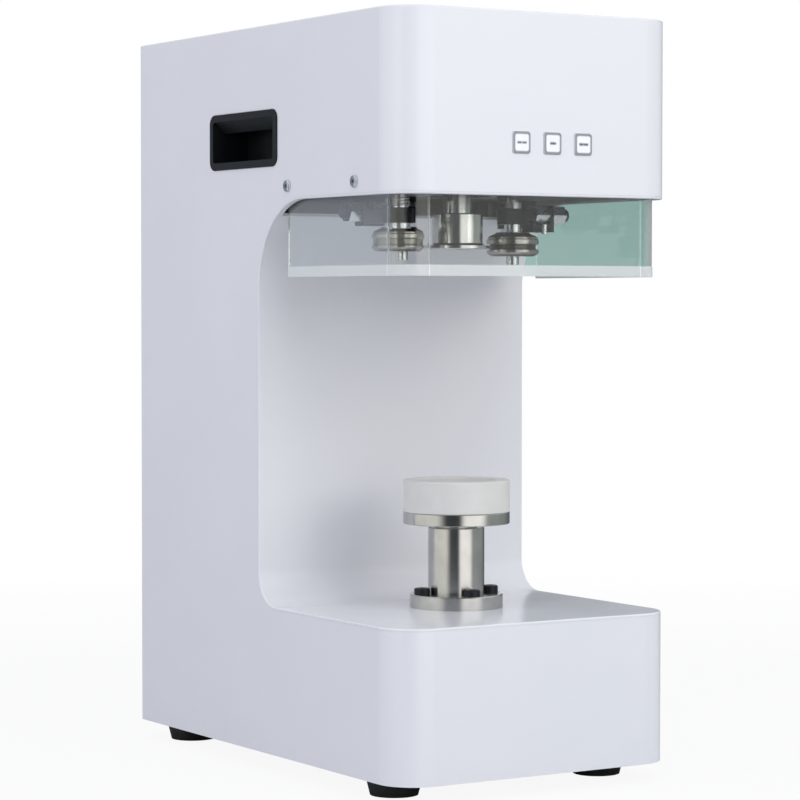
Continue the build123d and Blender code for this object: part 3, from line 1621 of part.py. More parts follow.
with BuildPart() as level_rocker:
    with BuildSketch(Plane.YZ.offset(inlet_x)):
        with BuildLine():
            Polyline(
                (rocker_pivot_y + rocker_ear, rocker_z + rocker_height / 2),
                (rocker_pivot_y + rocker_ear - rocker_dip, rocker_z),
                (rocker_pivot_y + rocker_ear, rocker_z - rocker_height / 2),
                (rocker_pivot_y - rocker_back, rocker_z - rocker_height / 2 + rocker_tuck),
                (rocker_pivot_y - rocker_back, rocker_z + rocker_height / 2 - rocker_tuck),
                close=True,
            )
        make_face()
    extrude(amount=rocker_width / 2, both=True)
    with BuildSketch(Plane.YZ.offset(inlet_x)):
        with Locations((rocker_pivot_y, rocker_z)):
            Circle(rocker_pin_radius)
    extrude(amount=rocker_width / 2 + rocker_pin_reach, both=True)
rocker_axis = Axis((inlet_x, rocker_pivot_y, rocker_z), (1, 0, 0))
with BuildPart() as power_rocker:
    add(level_rocker.part.rotate(rocker_axis, rocker_tilt))
save(power_rocker, "power_rocker")
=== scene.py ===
import math

import bpy
from mathutils import Matrix, Vector


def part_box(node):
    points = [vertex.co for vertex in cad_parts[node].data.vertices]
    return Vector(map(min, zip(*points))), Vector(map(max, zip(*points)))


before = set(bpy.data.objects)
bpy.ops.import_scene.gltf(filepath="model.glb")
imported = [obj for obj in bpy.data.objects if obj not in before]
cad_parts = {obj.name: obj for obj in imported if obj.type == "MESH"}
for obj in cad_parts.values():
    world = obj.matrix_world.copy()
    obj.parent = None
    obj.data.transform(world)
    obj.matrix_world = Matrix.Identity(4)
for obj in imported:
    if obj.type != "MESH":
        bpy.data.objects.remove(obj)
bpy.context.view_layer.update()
scene = bpy.context.scene
scene.view_settings.view_transform = "Standard"


# The room of the studio is white to the camera. Polished metal mirrors a ring of dark
# flags and bright boxes round the set, and straight through the clear guard the camera
# sees a pale sea-green card.
def srgb(code):
    """Linear colour, with alpha, of an sRGB hex value."""
    channels = [int(code[at : at + 2], 16) / 255 for at in (1, 3, 5)]
    return [c / 12.92 if c <= 0.04045 else ((c + 0.055) / 1.055) ** 2.4 for c in channels] + [1.0]


def fill(node, inputs):
    """Link each input that is given a socket, and set each one that is given a value."""
    for name, value in inputs.items():
        if isinstance(value, bpy.types.NodeSocket):
            node.id_data.links.new(value, node.inputs[name])
        else:
            node.inputs[name].default_value = value


def add_node(tree, kind, inputs=None, **settings):
    """Add one shader node with its settings and inputs."""
    made = tree.nodes.new("ShaderNode" + kind)
    for name, value in settings.items():
        setattr(made, name, value)
    fill(made, inputs or {})
    return made


backdrop_white = srgb("#FFFFFF")
backdrop_card = srgb("#98BCB6")
room_tone = srgb("#E6E8ED")
room_level = 0.8

# Each entry is a bearing in degrees, to the right of the lens as seen from the machine,
# with the tone that stands there.
studio_ring = (
    (-180, "#4A5254"),
    (-150, "#6A7280"),
    (-108, "#7E8794"),
    (-97, "#D2D2CB"),
    (-46, "#D8D8D0"),
    (-20, "#1A1B1D"),
    (5, "#1A1B1D"),
    (20, "#FFFDF8"),
    (54, "#FFFDF8"),
    (74, "#8C918F"),
    (120, "#868B88"),
    (150, "#565E60"),
    (180, "#4A5254"),
)
ring_level = 1.45
lens_bearing = math.radians(122.2)
full_turn = 360
half_turn = 180
spare_stop = 0.5
ceiling_tone = srgb("#C9CDD2")
ceiling_start = 0.25
ceiling_full = 0.7

world = bpy.data.worlds.new("studio_room")
scene.world = world
world.use_nodes = True
tree = world.node_tree
tree.nodes.clear()
path = add_node(tree, "LightPath")
outward = add_node(tree, "TexCoord").outputs["Generated"]
turned = add_node(tree, "Mapping", {"Vector": outward, "Rotation": (0, 0, lens_bearing)})
parts = add_node(tree, "SeparateXYZ", {"Vector": turned.outputs["Vector"]})
bearing = add_node(
    tree, "Math", {0: parts.outputs["Y"], 1: parts.outputs["X"]}, operation="ARCTAN2"
)
round_share = add_node(
    tree, "MapRange", {"Value": bearing.outputs[0], "From Min": -math.pi, "From Max": math.pi}
)
ring = add_node(tree, "ValToRGB", {"Fac": round_share.outputs["Result"]})
ring.color_ramp.interpolation = "EASE"
stops = ring.color_ramp.elements
while len(stops) < len(studio_ring):
    stops.new(spare_stop)
for stop, (angle, tone) in zip(stops, studio_ring):
    stop.position = (angle + half_turn) / full_turn
    stop.color = srgb(tone)
overhead = add_node(
    tree,
    "MapRange",
    {"Value": parts.outputs["Z"], "From Min": ceiling_start, "From Max": ceiling_full},
)
dome = add_node(
    tree,
    "Mix",
    {0: overhead.outputs["Result"], 6: ring.outputs["Color"], 7: ceiling_tone},
    data_type="RGBA",
)
mirrored = add_node(tree, "Background", {"Color": dome.outputs[2], "Strength": ring_level})
room = add_node(tree, "Background", {"Color": room_tone, "Strength": room_level})
white = add_node(tree, "Background", {"Color": backdrop_white, "Strength": 1.0})
card = add_node(tree, "Background", {"Color": backdrop_card, "Strength": 1.0})

# Only a ray that went through the guard and met nothing else sees the card, and only one
# that was mirrored more often than scattered sees the ring.
bounced = add_node(
    tree,
    "Math",
    {0: path.outputs["Glossy Depth"], 1: path.outputs["Diffuse Depth"]},
    operation="ADD",
)
straight = add_node(
    tree,
    "Math",
    {0: path.outputs["Is Transmission Ray"], 1: bounced.outputs[0]},
    operation="SUBTRACT",
    use_clamp=True,
)
metal_ray = add_node(
    tree,
    "Math",
    {0: path.outputs["Glossy Depth"], 1: path.outputs["Diffuse Depth"]},
    operation="SUBTRACT",
    use_clamp=True,
)
shades = add_node(
    tree, "MixShader", {0: metal_ray.outputs[0], 1: room.outputs[0], 2: mirrored.outputs[0]}
)
past = add_node(
    tree,
    "MixShader",
    {0: path.outputs["Is Camera Ray"], 1: shades.outputs[0], 2: white.outputs[0]},
)
through = add_node(
    tree, "MixShader", {0: straight.outputs[0], 1: past.outputs[0], 2: card.outputs[0]}
)
add_node(tree, "OutputWorld", {"Surface": through.outputs[0]})


# The floor is matt studio paper laid under the feet. It keeps the machine's shadow, and
# further out it fades into the white room, so that it has no horizon.
floor_size = 4.0
fade_start = 0.75
fade_end = 1.7
mirrored_fade = 0.6
white_share = 0.92
corner = floor_size / 2
floor_mesh = bpy.data.meshes.new("studio_floor")
floor_mesh.from_pydata(
    [(-corner, -corner, 0), (corner, -corner, 0), (corner, corner, 0), (-corner, corner, 0)],
    [],
    [(0, 1, 2, 3)],
)
floor = bpy.data.objects.new("studio_floor", floor_mesh)
scene.collection.objects.link(floor)
floor_paper = bpy.data.materials.new("studio_paper")
floor_paper.use_nodes = True
tree = floor_paper.node_tree
tree.nodes.clear()
path = add_node(tree, "LightPath")
matt = add_node(tree, "BsdfDiffuse", {"Color": srgb("#CBCDD1")})
glow = add_node(tree, "Emission", {"Color": backdrop_white, "Strength": 1.0})
share = add_node(
    tree, "Math", {0: path.outputs["Is Camera Ray"], 1: white_share}, operation="MULTIPLY"
)
paper = add_node(tree, "MixShader", {0: share.outputs[0], 1: matt.outputs[0], 2: glow.outputs[0]})
spot = add_node(tree, "TexCoord").outputs["Object"]
reach = add_node(tree, "VectorMath", {0: spot}, operation="LENGTH")
felt_reach = add_node(
    tree,
    "Math",
    {0: path.outputs["Is Glossy Ray"], 1: mirrored_fade, 2: reach.outputs["Value"]},
    operation="MULTIPLY_ADD",
)
faded = add_node(
    tree, "MapRange", {"Value": felt_reach.outputs[0], "From Min": fade_start, "From Max": fade_end}
)
nothing = add_node(tree, "BsdfTransparent")
sheet = add_node(
    tree, "MixShader", {0: faded.outputs["Result"], 1: paper.outputs[0], 2: nothing.outputs[0]}
)
add_node(tree, "OutputMaterial", {"Surface": sheet.outputs[0]})
floor_mesh.materials.append(floor_paper)


# Three soft boxes light the machine: the key lamp from the right front, one from above
# and one from the left. Each entry is its name, its place, its width and height, its
# power in watts and its tone. Metal doesn't mirror them, because the ring stands for them.
aim_point = Vector((0, -0.05, 0.35))
soft_boxes = (
    ("key_lamp", (1.4, -2.5, 1.25), (1.5, 1.3), 20, "#FFFDF8"),
    ("top_lamp", (-0.2, -1.5, 2.3), (1.8, 1.8), 18, "#F2FBFF"),
    ("left_lamp", (-2.6, -0.6, 1.4), (1.2, 1.6), 17, "#F4F2FF"),
)
for name, place, (width, height), watts, tone in soft_boxes:
    light = bpy.data.lights.new(name, "AREA")
    light.shape = "RECTANGLE"
    light.size = width
    light.size_y = height
    light.energy = watts
    light.color = srgb(tone)[:3]
    lamp = bpy.data.objects.new(name, light)
    scene.collection.objects.link(lamp)
    lamp.location = place
    lamp.rotation_mode = "QUATERNION"
    lamp.rotation_quaternion = (aim_point - Vector(place)).to_track_quat("-Z", "Y")
    lamp.visible_glossy = False


# The camera stands where the photograph was taken from, to the left of the front and
# almost level. Its place, angles and focal length come from a fit to the casing's edges.
camera_place = Vector((-1.2606, -2.0440, 0.3857))
camera_azimuth = math.radians(-31.76)
camera_elevation = math.radians(2.0)
camera_roll = math.radians(0.03)
focal_pixels = 2851.8
frame_pixels = 800
camera_data = bpy.data.cameras.new("camera")
camera_data.sensor_width = 36.0
camera_data.lens = focal_pixels / frame_pixels * camera_data.sensor_width
camera = bpy.data.objects.new("camera", camera_data)
scene.collection.objects.link(camera)
camera_back = Vector(
    (
        math.sin(camera_azimuth) * math.cos(camera_elevation),
        -math.cos(camera_azimuth) * math.cos(camera_elevation),
        math.sin(camera_elevation),
    )
)
level = (-camera_back).to_track_quat("-Z", "Y")
camera.location = camera_place
camera.rotation_mode = "QUATERNION"
camera.rotation_quaternion = level @ Matrix.Rotation(camera_roll, 3, "Z").to_quaternion()
scene.camera = camera


# The casing is folded sheet steel, 1.5 mm thick, in white polyester powder coat. Powder
# flows into a glossy skin with a faint orange peel, and it greys a little where hands
# and cloths have rubbed it.
mm = 0.001
noise_low = 0.3
noise_high = 0.7


def new_material(name):
    """An empty node material with its tree, its shader and its place in the row frame."""
    material = bpy.data.materials.new(name)
    material.use_nodes = True
    tree = material.node_tree
    tree.nodes.clear()
    shader = add_node(tree, "BsdfPrincipled")
    add_node(tree, "OutputMaterial", {"Surface": shader.outputs["BSDF"]})
    where = add_node(tree, "TexCoord").outputs["Object"]
    return material, tree, shader, where


def per_metre(spacing_mm):
    """Pattern scale for one feature every so many millimetres."""
    return 1 / (spacing_mm * mm)


def mottle(tree, where, patch_mm, low, high, detail=2.0):
    """A value that wanders between low and high, in patches of the given size."""
    noise = add_node(
        tree, "TexNoise", {"Vector": where, "Scale": per_metre(patch_mm), "Detail": detail}
    )
    limits = {"From Min": noise_low, "From Max": noise_high, "To Min": low, "To Max": high}
    return add_node(tree, "MapRange", {"Value": noise.outputs["Fac"], **limits}).outputs["Result"]


def two_tones(tree, where, first, second, patch_mm, detail=2.0):
    """A colour that wanders between two hex values, in patches of the given size."""
    share = mottle(tree, where, patch_mm, low=0.0, high=1.0, detail=detail)
    mixed = add_node(tree, "Mix", {0: share, 6: srgb(first), 7: srgb(second)}, data_type="RGBA")
    return mixed.outputs[2]


def grain(tree, where, grain_mm, depth_mm):
    """Surface normal of a fine even grain."""
    noise = add_node(
        tree, "TexNoise", {"Vector": where, "Scale": per_metre(grain_mm), "Detail": 1.0}
    )
    bump = add_node(tree, "Bump", {"Height": noise.outputs["Fac"], "Distance": depth_mm * mm})
    return bump.outputs["Normal"]


def dress(material, *names):
    """Give CAD nodes their material."""
    for name in names:
        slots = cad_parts[name].data.materials
        slots.clear()
        slots.append(material)


peel_spacing = 2.2
peel_depth = 0.006
rubbed_patch = 90.0
powder_coat, tree, shader, where = new_material("white_powder_coat")
fill(
    shader,
    {
        "Base Color": two_tones(tree, where, "#E7E7EB", "#E4E5E9", rubbed_patch, detail=4.0),
        "Roughness": mottle(tree, where, rubbed_patch, low=0.19, high=0.24),
        "Normal": grain(tree, where, peel_spacing, peel_depth),
        "IOR": 1.5,
    },
)
dress(powder_coat, "casing_shell", "throat_liner", "top_cover", "rear_cover")


# The cover screws are zinc-plated pan heads with a cross recess, four up each rear
# flange, and four more go up through the feet. The recess is not cut: it is painted
# near black on the metal, as painted shade inside it.
def apart(tree, value, centre):
    """Distance of a coordinate from a centre, without its sign."""
    moved = add_node(tree, "Math", {0: value, 1: centre}, operation="SUBTRACT")
    return add_node(tree, "Math", {0: moved.outputs[0]}, operation="ABSOLUTE").outputs[0]


def stamped(tree, across, up, half_width, half_height, corner, soft):
    """1 inside a round-cornered rectangle and 0 outside it. Its sizes are in millimetres."""
    sides = []
    for value, half in ((across, half_width), (up, half_height)):
        side = add_node(tree, "Math", {0: value, 1: (half - corner) * mm}, operation="SUBTRACT")
        sides.append(side.outputs[0])
    outer = [
        add_node(tree, "Math", {0: side, 1: 0.0}, operation="MAXIMUM").outputs[0] for side in sides
    ]
    corner_place = add_node(tree, "CombineXYZ", {"X": outer[0], "Y": outer[1]})
    outside = add_node(tree, "VectorMath", {0: corner_place.outputs[0]}, operation="LENGTH")
    widest = add_node(tree, "Math", {0: sides[0], 1: sides[1]}, operation="MAXIMUM")
    within = add_node(tree, "Math", {0: widest.outputs[0], 1: 0.0}, operation="MINIMUM")
    total = add_node(
        tree, "Math", {0: outside.outputs["Value"], 1: within.outputs[0]}, operation="ADD"
    )
    edge = {"From Min": (corner - soft) * mm, "From Max": (corner + soft) * mm}
    return add_node(
        tree, "MapRange", {"Value": total.outputs[0], **edge, "To Min": 1.0, "To Max": 0.0}
    ).outputs["Result"]


screw_row_x = 0.121
screw_row_low = 0.0447
screw_row_pitch = 0.1782
cross_half_length = 2.0
cross_half_width = 0.4
cross_corner = 0.1
cross_soft = 0.08
pan_head, tree, shader, where = new_material("zinc_plated_pan_head")
parts = add_node(tree, "SeparateXYZ", {"Vector": where})
across = apart(tree, apart(tree, parts.outputs["X"], 0.0), screw_row_x)
row_top = screw_row_low + screw_row_pitch / 2
row_bottom = screw_row_low - screw_row_pitch / 2
wrapped = add_node(
    tree, "Math", {0: parts.outputs["Z"], 1: row_top, 2: row_bottom}, operation="WRAP"
)
up = apart(tree, wrapped.outputs[0], screw_row_low)
cross = 0.0
for half_sizes in ((cross_half_length, cross_half_width), (cross_half_width, cross_half_length)):
    bar = stamped(tree, across, up, *half_sizes, cross_corner, cross_soft)
    cross = add_node(tree, "Math", {0: cross, 1: bar}, operation="MAXIMUM").outputs[0]
plated = two_tones(tree, where, "#CFD1D4", "#B9BDC3", patch_mm=3.0, detail=3.0)
# The cross is painted near black: painted shade in the recess.
recess_shaded = add_node(tree, "Mix", {0: cross, 6: plated, 7: srgb("#1A1B1D")}, data_type="RGBA")
fill(
    shader,
    {
        "Base Color": recess_shaded.outputs[2],
        "Roughness": mottle(tree, where, patch_mm=4.0, low=0.2, high=0.34),
        "Metallic": 1.0,
    },
)
dress(pan_head, "case_screws")


# The base tray and the two inner frames are galvanised steel, folded and welded, with its
# pale spangle. They carry the casing and are hidden by it. The power supply's case is
# the same sheet.
spangle_size = 9.0
galvanised, tree, shader, where = new_material("galvanised_sheet")
cells = add_node(tree, "TexVoronoi", {"Vector": where, "Scale": per_metre(spangle_size)})
spangle = add_node(tree, "SeparateColor", {"Color": cells.outputs["Color"]}).outputs[0]
tone = add_node(
    tree, "Mix", {0: spangle, 6: srgb("#B9BDC0"), 7: srgb("#A3A8AC")}, data_type="RGBA"
)
dulled = add_node(tree, "MapRange", {"Value": spangle, "To Min": 0.32, "To Max": 0.5})
fill(
    shader,
    {"Base Color": tone.outputs[2], "Roughness": dulled.outputs["Result"], "Metallic": 1.0},
)
dress(galvanised, "base_tray", "column_frame", "deck_frame", "power_supply")


# The feet are moulded black rubber, a taper with a dull skin, each held by a screw sunk
# in its underside. The two belts inside are the same dull black. The skin's grain is
# drawn 0.7 mm wide, coarser than it is, so that it shows.
rubber, tree, shader, where = new_material("moulded_rubber")
fill(
    shader,
    {
        "Base Color": two_tones(tree, where, "#131314", "#1E1E20", patch_mm=7.0, detail=3.0),
        "Roughness": mottle(tree, where, patch_mm=5.0, low=0.62, high=0.78),
        "Normal": grain(tree, where, grain_mm=0.7, depth_mm=0.03),
    },
)
dress(rubber, "rubber_feet", "main_belt", "cam_belt")


# The handle cups are injection-moulded ABS, black, and snap into the casing from outside.
# They have the spark-eroded grain of their mould, which is drawn 0.8 mm wide, coarser
# than it is, so that it shows.
spark_grain = 0.8
abs_black, tree, shader, where = new_material("black_moulded_abs")
fill(
    shader,
    {
        "Base Color": two_tones(tree, where, "#0C0E10", "#14181A", spark_grain),
        "Roughness": mottle(tree, where, patch_mm=9.0, low=0.34, high=0.44),
        "Normal": grain(tree, where, spark_grain, depth_mm=0.02),
        "Specular IOR Level": 0.3,
        "IOR": 1.53,
    },
)
dress(abs_black, "handle_cups")


# The guard is 3 mm cast acrylic, line-bent at its two corners, with a lip along its lower
# edge. It is almost clear. The lip is drawn less clear, so it reads paler: a painted
# highlight for the light along its edge. Thin lines along the bends are drawn less clear
# as painted highlights, and at a slant the sheet is drawn less clear as a painted reflection.
lip_height = 0.008
lip_highlight_clearness = 0.45
bend_radius = 0.0235
bend_line = 0.0008
bend_highlight_strength = 0.35
slant_start = 0.3
slant_full = 0.8
slant_reflection_clearness = 0.55
acrylic, tree, shader, where = new_material("clear_cast_acrylic")
guard_low, guard_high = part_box("guard")
spot = add_node(tree, "SeparateXYZ", {"Vector": where})
lip_top = guard_low[2] + lip_height
# The lip is made less clear: a painted highlight along the lower edge.
clearness = add_node(
    tree,
    "MapRange",
    {
        "Value": spot.outputs["Z"],
        "From Min": lip_top,
        "From Max": lip_top + mm,
        "To Min": lip_highlight_clearness,
        "To Max": 1.0,
    },
).outputs["Result"]
bend_end_x = guard_high[0] - bend_radius
bend_end_y = guard_low[1] + bend_radius
# Thin lines along the two bends are made less clear, as painted highlights.
for gap in (
    apart(tree, apart(tree, spot.outputs["X"], 0.0), bend_end_x),
    apart(tree, spot.outputs["Y"], bend_end_y),
):
    bend_highlight = add_node(
        tree, "MapRange", {"Value": gap, "From Max": bend_line, "To Min": bend_highlight_strength, "To Max": 0.0}
    )
    clearness = add_node(
        tree, "Math", {0: clearness, 1: bend_highlight.outputs["Result"]}, operation="SUBTRACT"
    ).outputs[0]
# At a slant the sheet is made less clear, as a painted reflection.
slant = add_node(tree, "LayerWeight").outputs["Facing"]
painted_slant_reflection = add_node(
    tree,
    "MapRange",
    {
        "Value": slant,
        "From Min": slant_start,
        "From Max": slant_full,
        "To Min": 1.0,
        "To Max": slant_reflection_clearness,
    },
)
clearness = add_node(
    tree, "Math", {0: clearness, 1: painted_slant_reflection.outputs["Result"]}, operation="MULTIPLY"
).outputs[0]
fill(
    shader,
    {
        "Base Color": srgb("#F5F8F7"),
        "Roughness": mottle(tree, where, patch_mm=25.0, low=0.01, high=0.05),
        "Transmission Weight": clearness,
        "Specular IOR Level": 0.2,
        "IOR": 1.49,
    },
)
dress(acrylic, "guard")


# The guard hangs on four zinc-plated dome heads with a hexagon socket, two on each side,
# with spacers and nuts behind the sheet. The plating is bright, with a faint cloud in it.
zinc, tree, shader, where = new_material("bright_zinc_plate")
fill(
    shader,
    {
        "Base Color": two_tones(tree, where, "#D4D6D9", "#BEC2C8", patch_mm=4.0, detail=3.0),
        "Roughness": mottle(tree, where, patch_mm=5.0, low=0.16, high=0.28),
        "Metallic": 1.0,
    },
)
dress(zinc, "guard_screws")


# The keys are white gloss ABS caps. Each has a grey printed frame with round corners and
# short dark dashes in its middle, which stand for no word. A dash is given by its offset
# from the cap's middle, its half length and its half height.
key_level = 0.5075
key_middles = (-0.0207, 0.0084, 0.0375)
field_half_width = 6.3
field_half_height = 6.5
field_corner = 1.8
field_soft = 0.45
face_start = -0.2194
key_dashes = (
    ((-2.3, 2.0, 0.85), (2.2, 2.1, 0.8)),
    ((-0.9, 1.9, 0.95), (1.4, 1.5, 0.8)),
    ((-2.2, 2.0, 1.0), (2.1, 2.2, 0.95)),
)
dash_corner = 0.6
dash_soft = 0.6
frame_print = srgb("#91949A")
dash_print = srgb("#666971")
for number, (centre, dashes) in enumerate(zip(key_middles, key_dashes), 1):
    cap, tree, shader, where = new_material("white_gloss_abs_key_" + str(number))
    parts = add_node(tree, "SeparateXYZ", {"Vector": where})
    across = apart(tree, parts.outputs["X"], centre)
    up = apart(tree, parts.outputs["Z"], key_level)
    field = stamped(
        tree, across, up, field_half_width, field_half_height, field_corner, field_soft
    )
    gloss = two_tones(tree, where, "#F8F9FD", "#F4F5FA", patch_mm=6.0)
    on_face = add_node(
        tree, "Math", {0: parts.outputs["Y"], 1: face_start}, operation="LESS_THAN"
    ).outputs[0]
    framed = add_node(tree, "Mix", {0: on_face, 6: gloss, 7: frame_print}, data_type="RGBA")
    face = add_node(tree, "Mix", {0: field, 6: framed.outputs[2], 7: gloss}, data_type="RGBA")
    for offset, half_length, half_height in dashes:
        beside = apart(tree, parts.outputs["X"], centre + offset * mm)
        dash = stamped(tree, beside, up, half_length, half_height, dash_corner, dash_soft)
        face = add_node(tree, "Mix", {0: dash, 6: face.outputs[2], 7: dash_print}, data_type="RGBA")
    fill(
        shader,
        {
            "Base Color": face.outputs[2],
            "Roughness": mottle(tree, where, patch_mm=5.0, low=0.2, high=0.26),
            "IOR": 1.53,
        },
    )
    dress(cap, "key_" + str(number))


# Behind the keys is a glass-fibre circuit board in green solder mask, on four standoffs.
# The mask is a thin, slightly glossy lacquer.
board_mask, tree, shader, where = new_material("green_solder_mask")
fill(
    shader,
    {
        "Base Color": two_tones(tree, where, "#1F5B3A", "#27684A", patch_mm=5.0),
        "Roughness": mottle(tree, where, patch_mm=5.0, low=0.3, high=0.4),
    },
)
dress(board_mask, "control_board")


# The head plate and the spindle housing are machined steel in black stoving enamel. They
# close the head from below, behind the guard. The enamel has a soft, uneven gloss and a
# faint orange peel 1.6 mm wide.
plate_enamel, tree, shader, where = new_material("black_stoving_enamel")
fill(
    shader,
    {
        "Base Color": two_tones(tree, where, "#34373C", "#404348", patch_mm=14.0, detail=3.0),
        "Roughness": mottle(tree, where, patch_mm=10.0, low=0.3, high=0.44),
        "Normal": grain(tree, where, grain_mm=1.6, depth_mm=0.01),
    },
)
dress(plate_enamel, "head_plate", "spindle_housing")


# The spindle and the stepped chuck are turned and ground steel. Lathe rings run round
# each part; real ones are finer, and here they are 0.5 mm apart so that they show.
lathe_ring = 0.5
lathe_depth = 0.002
lathe_anisotropy = 0.7
across_the_rings = 0.25
duller = 0.05
brighter = 0.03


def turn_on_lathe(tree, shader, where, centre, roughness):
    """Lathe rings in bare metal, about an upright line. Returns the distance from the line."""
    moved = add_node(tree, "Mapping", {"Vector": where, "Location": (-centre[0], -centre[1], 0)})
    parts = add_node(tree, "SeparateXYZ", {"Vector": moved.outputs["Vector"]})
    flat = add_node(tree, "CombineXYZ", {"X": parts.outputs["X"], "Y": parts.outputs["Y"]})
    radius = add_node(tree, "VectorMath", {0: flat.outputs[0]}, operation="LENGTH").outputs["Value"]
    along = add_node(tree, "Math", {0: radius, 1: parts.outputs["Z"]}, operation="ADD")
    rings = add_node(
        tree,
        "TexNoise",
        {"W": along.outputs[0], "Scale": per_metre(lathe_ring), "Detail": 2.0},
        noise_dimensions="1D",
    ).outputs["Fac"]
    bump = add_node(tree, "Bump", {"Height": rings, "Distance": lathe_depth * mm})
    shade = add_node(
        tree,
        "MapRange",
        {
            "Value": rings,
            "From Min": noise_low,
            "From Max": noise_high,
            "To Min": roughness - brighter,
            "To Max": roughness + duller,
        },
    )
    round_axis = add_node(tree, "Tangent", direction_type="RADIAL", axis="Z")
    fill(
        shader,
        {
            "Roughness": shade.outputs["Result"],
            "Normal": bump.outputs["Normal"],
            "Tangent": round_axis.outputs["Tangent"],
            "Metallic": 1.0,
            "Anisotropic": lathe_anisotropy,
            "Anisotropic Rotation": across_the_rings,
        },
    )
    return radius


axis = (0, -0.095)
handled_patch = 15.0
ground_steel, tree, shader, where = new_material("ground_steel")
turn_on_lathe(tree, shader, where, axis, roughness=0.16)
fill(
    shader,
    {"Base Color": two_tones(tree, where, "#D4D3D1", "#C8C7C5", handled_patch, detail=3.0)},
)
dress(ground_steel, "spindle_shaft", "seaming_chuck")


# The seaming rollers are hardened tool steel, ground and polished. Each turns on its own
# pin. Their colour holds painted light: a light band at the rim is a painted highlight,
# and the dark grey-brown inside it is painted shade and dark reflection from under the head.
rim_band = 2.2
rim_edge = 0.55
# Dark grey-brown: the painted shade and dark reflection on the roller's face.
painted_shade_tone = srgb("#4C4946")
for name in ("roller_1", "roller_2"):
    lowest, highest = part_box(name)
    centre = [(first + last) / 2 for first, last in zip(lowest, highest)]
    rim_radius = (highest[0] - lowest[0]) / 2
    painted_light_roller, tree, shader, where = new_material(name + "_tempered")
    radius = turn_on_lathe(tree, shader, where, centre, roughness=0.16)
    rim_start = rim_radius - rim_band * mm
    rim_full = rim_radius - rim_edge * mm
    # The rim band is painted light as a highlight, and inside it the steel is painted dark as
    # shade.
    rim = add_node(
        tree, "MapRange", {"Value": radius, "From Min": rim_start, "From Max": rim_full}
    )
    rim_highlight_tone = two_tones(tree, where, "#B1AFAB", "#9E9C98", handled_patch, detail=3.0)
    painted_roller_tone = add_node(
        tree, "Mix", {0: rim.outputs["Result"], 6: painted_shade_tone, 7: rim_highlight_tone}, data_type="RGBA"
    )
    fill(shader, {"Base Color": painted_roller_tone.outputs[2]})
    dress(painted_light_roller, name)


# Arms, holders and levers are milled steel, blackened in hot oxide and oiled: nearly
# black, with a soft sheen and paler patches where the oxide has rubbed off. The marks of
# milling are drawn 1.2 mm wide, coarser than they are, so that they show.
black_oxide, tree, shader, where = new_material("black_oxide_steel")
fill(
    shader,
    {
        "Base Color": two_tones(tree, where, "#1D1E23", "#2E2F35", patch_mm=6.0, detail=4.0),
        "Roughness": mottle(tree, where, patch_mm=8.0, low=0.3, high=0.42),
        "Normal": grain(tree, where, grain_mm=1.2, depth_mm=0.008),
        "Metallic": 0.9,
    },
)
for arm in ("arm_1_", "arm_2_"):
    dress(black_oxide, arm + "swing_arm", arm + "roller_holder", arm + "cam_lever")


# The adjusting bolts have long bright zinc nuts, and their own domed heads are black
# oxide. Roller pins, pivot shafts, followers and springs are bright too.
bolt_head_start = 0.1026
bolt_zinc, tree, shader, where = new_material("bright_nuts_black_bolt")
parts = add_node(tree, "SeparateXYZ", {"Vector": where})
outboard = apart(tree, parts.outputs["X"], 0.0)
head = add_node(
    tree, "Math", {0: outboard, 1: bolt_head_start}, operation="GREATER_THAN"
).outputs[0]
bright = two_tones(tree, where, "#F2F2F3", "#E2E3E6", patch_mm=4.0, detail=3.0)
tone = add_node(tree, "Mix", {0: head, 6: bright, 7: srgb("#26282C")}, data_type="RGBA")
fill(
    shader,
    {
        "Base Color": tone.outputs[2],
        "Roughness": mottle(tree, where, patch_mm=5.0, low=0.24, high=0.32),
        "Metallic": 1.0,
    },
)
for arm in ("arm_1_", "arm_2_"):
    dress(bolt_zinc, arm + "adjuster")
    dress(zinc, arm + "roller_pin", arm + "pivot_shaft", arm + "cam_follower", arm + "spring")


# The lift post, its plunger and the turntable disc are turned steel, a little less fine
# than the spindle. The post is bolted through the deck by its flange.
turned_steel, tree, shader, where = new_material("turned_steel")
turn_on_lathe(tree, shader, where, axis, roughness=0.2)
fill(
    shader,
    {"Base Color": two_tones(tree, where, "#C9C8C6", "#BCBBBA", handled_patch, detail=3.0)},
)
dress(turned_steel, "lift_post", "lift_plunger", "table_disc")
dress(turned_steel, "lead_screw", "table_bearing", "spindle_bearings", "cam_ring")


# Four socket cap screws hold the post, and four more the spindle housing. They are black
# oxide on hardened steel, nearly matt.
cap_black, tree, shader, where = new_material("black_oxide_cap_screw")
fill(
    shader,
    {
        "Base Color": two_tones(tree, where, "#1B1D20", "#2A2D31", patch_mm=2.0, detail=3.0),
        "Roughness": mottle(tree, where, patch_mm=3.0, low=0.34, high=0.5),
        "Metallic": 0.6,
    },
)
dress(cap_black, "cap_screws")


# The seat is turned from white nylon and pressed on the disc's spigot. It is waxy and a
# little see-through at its rim. The tool's fine marks are drawn 1.5 mm wide, coarser than
# they are, so that they show.
nylon, tree, shader, where = new_material("turned_white_nylon")
fill(
    shader,
    {
        "Base Color": two_tones(tree, where, "#DCDAD7", "#D6D5D2", patch_mm=18.0),
        "Roughness": mottle(tree, where, patch_mm=12.0, low=0.42, high=0.52),
        "Normal": grain(tree, where, grain_mm=1.5, depth_mm=0.01),
        "Subsurface Weight": 0.3,
        "Subsurface Radius": (0.004, 0.0036, 0.0032),
        "Subsurface Scale": 1.0,
        "IOR": 1.53,
    },
)
dress(nylon, "can_seat")


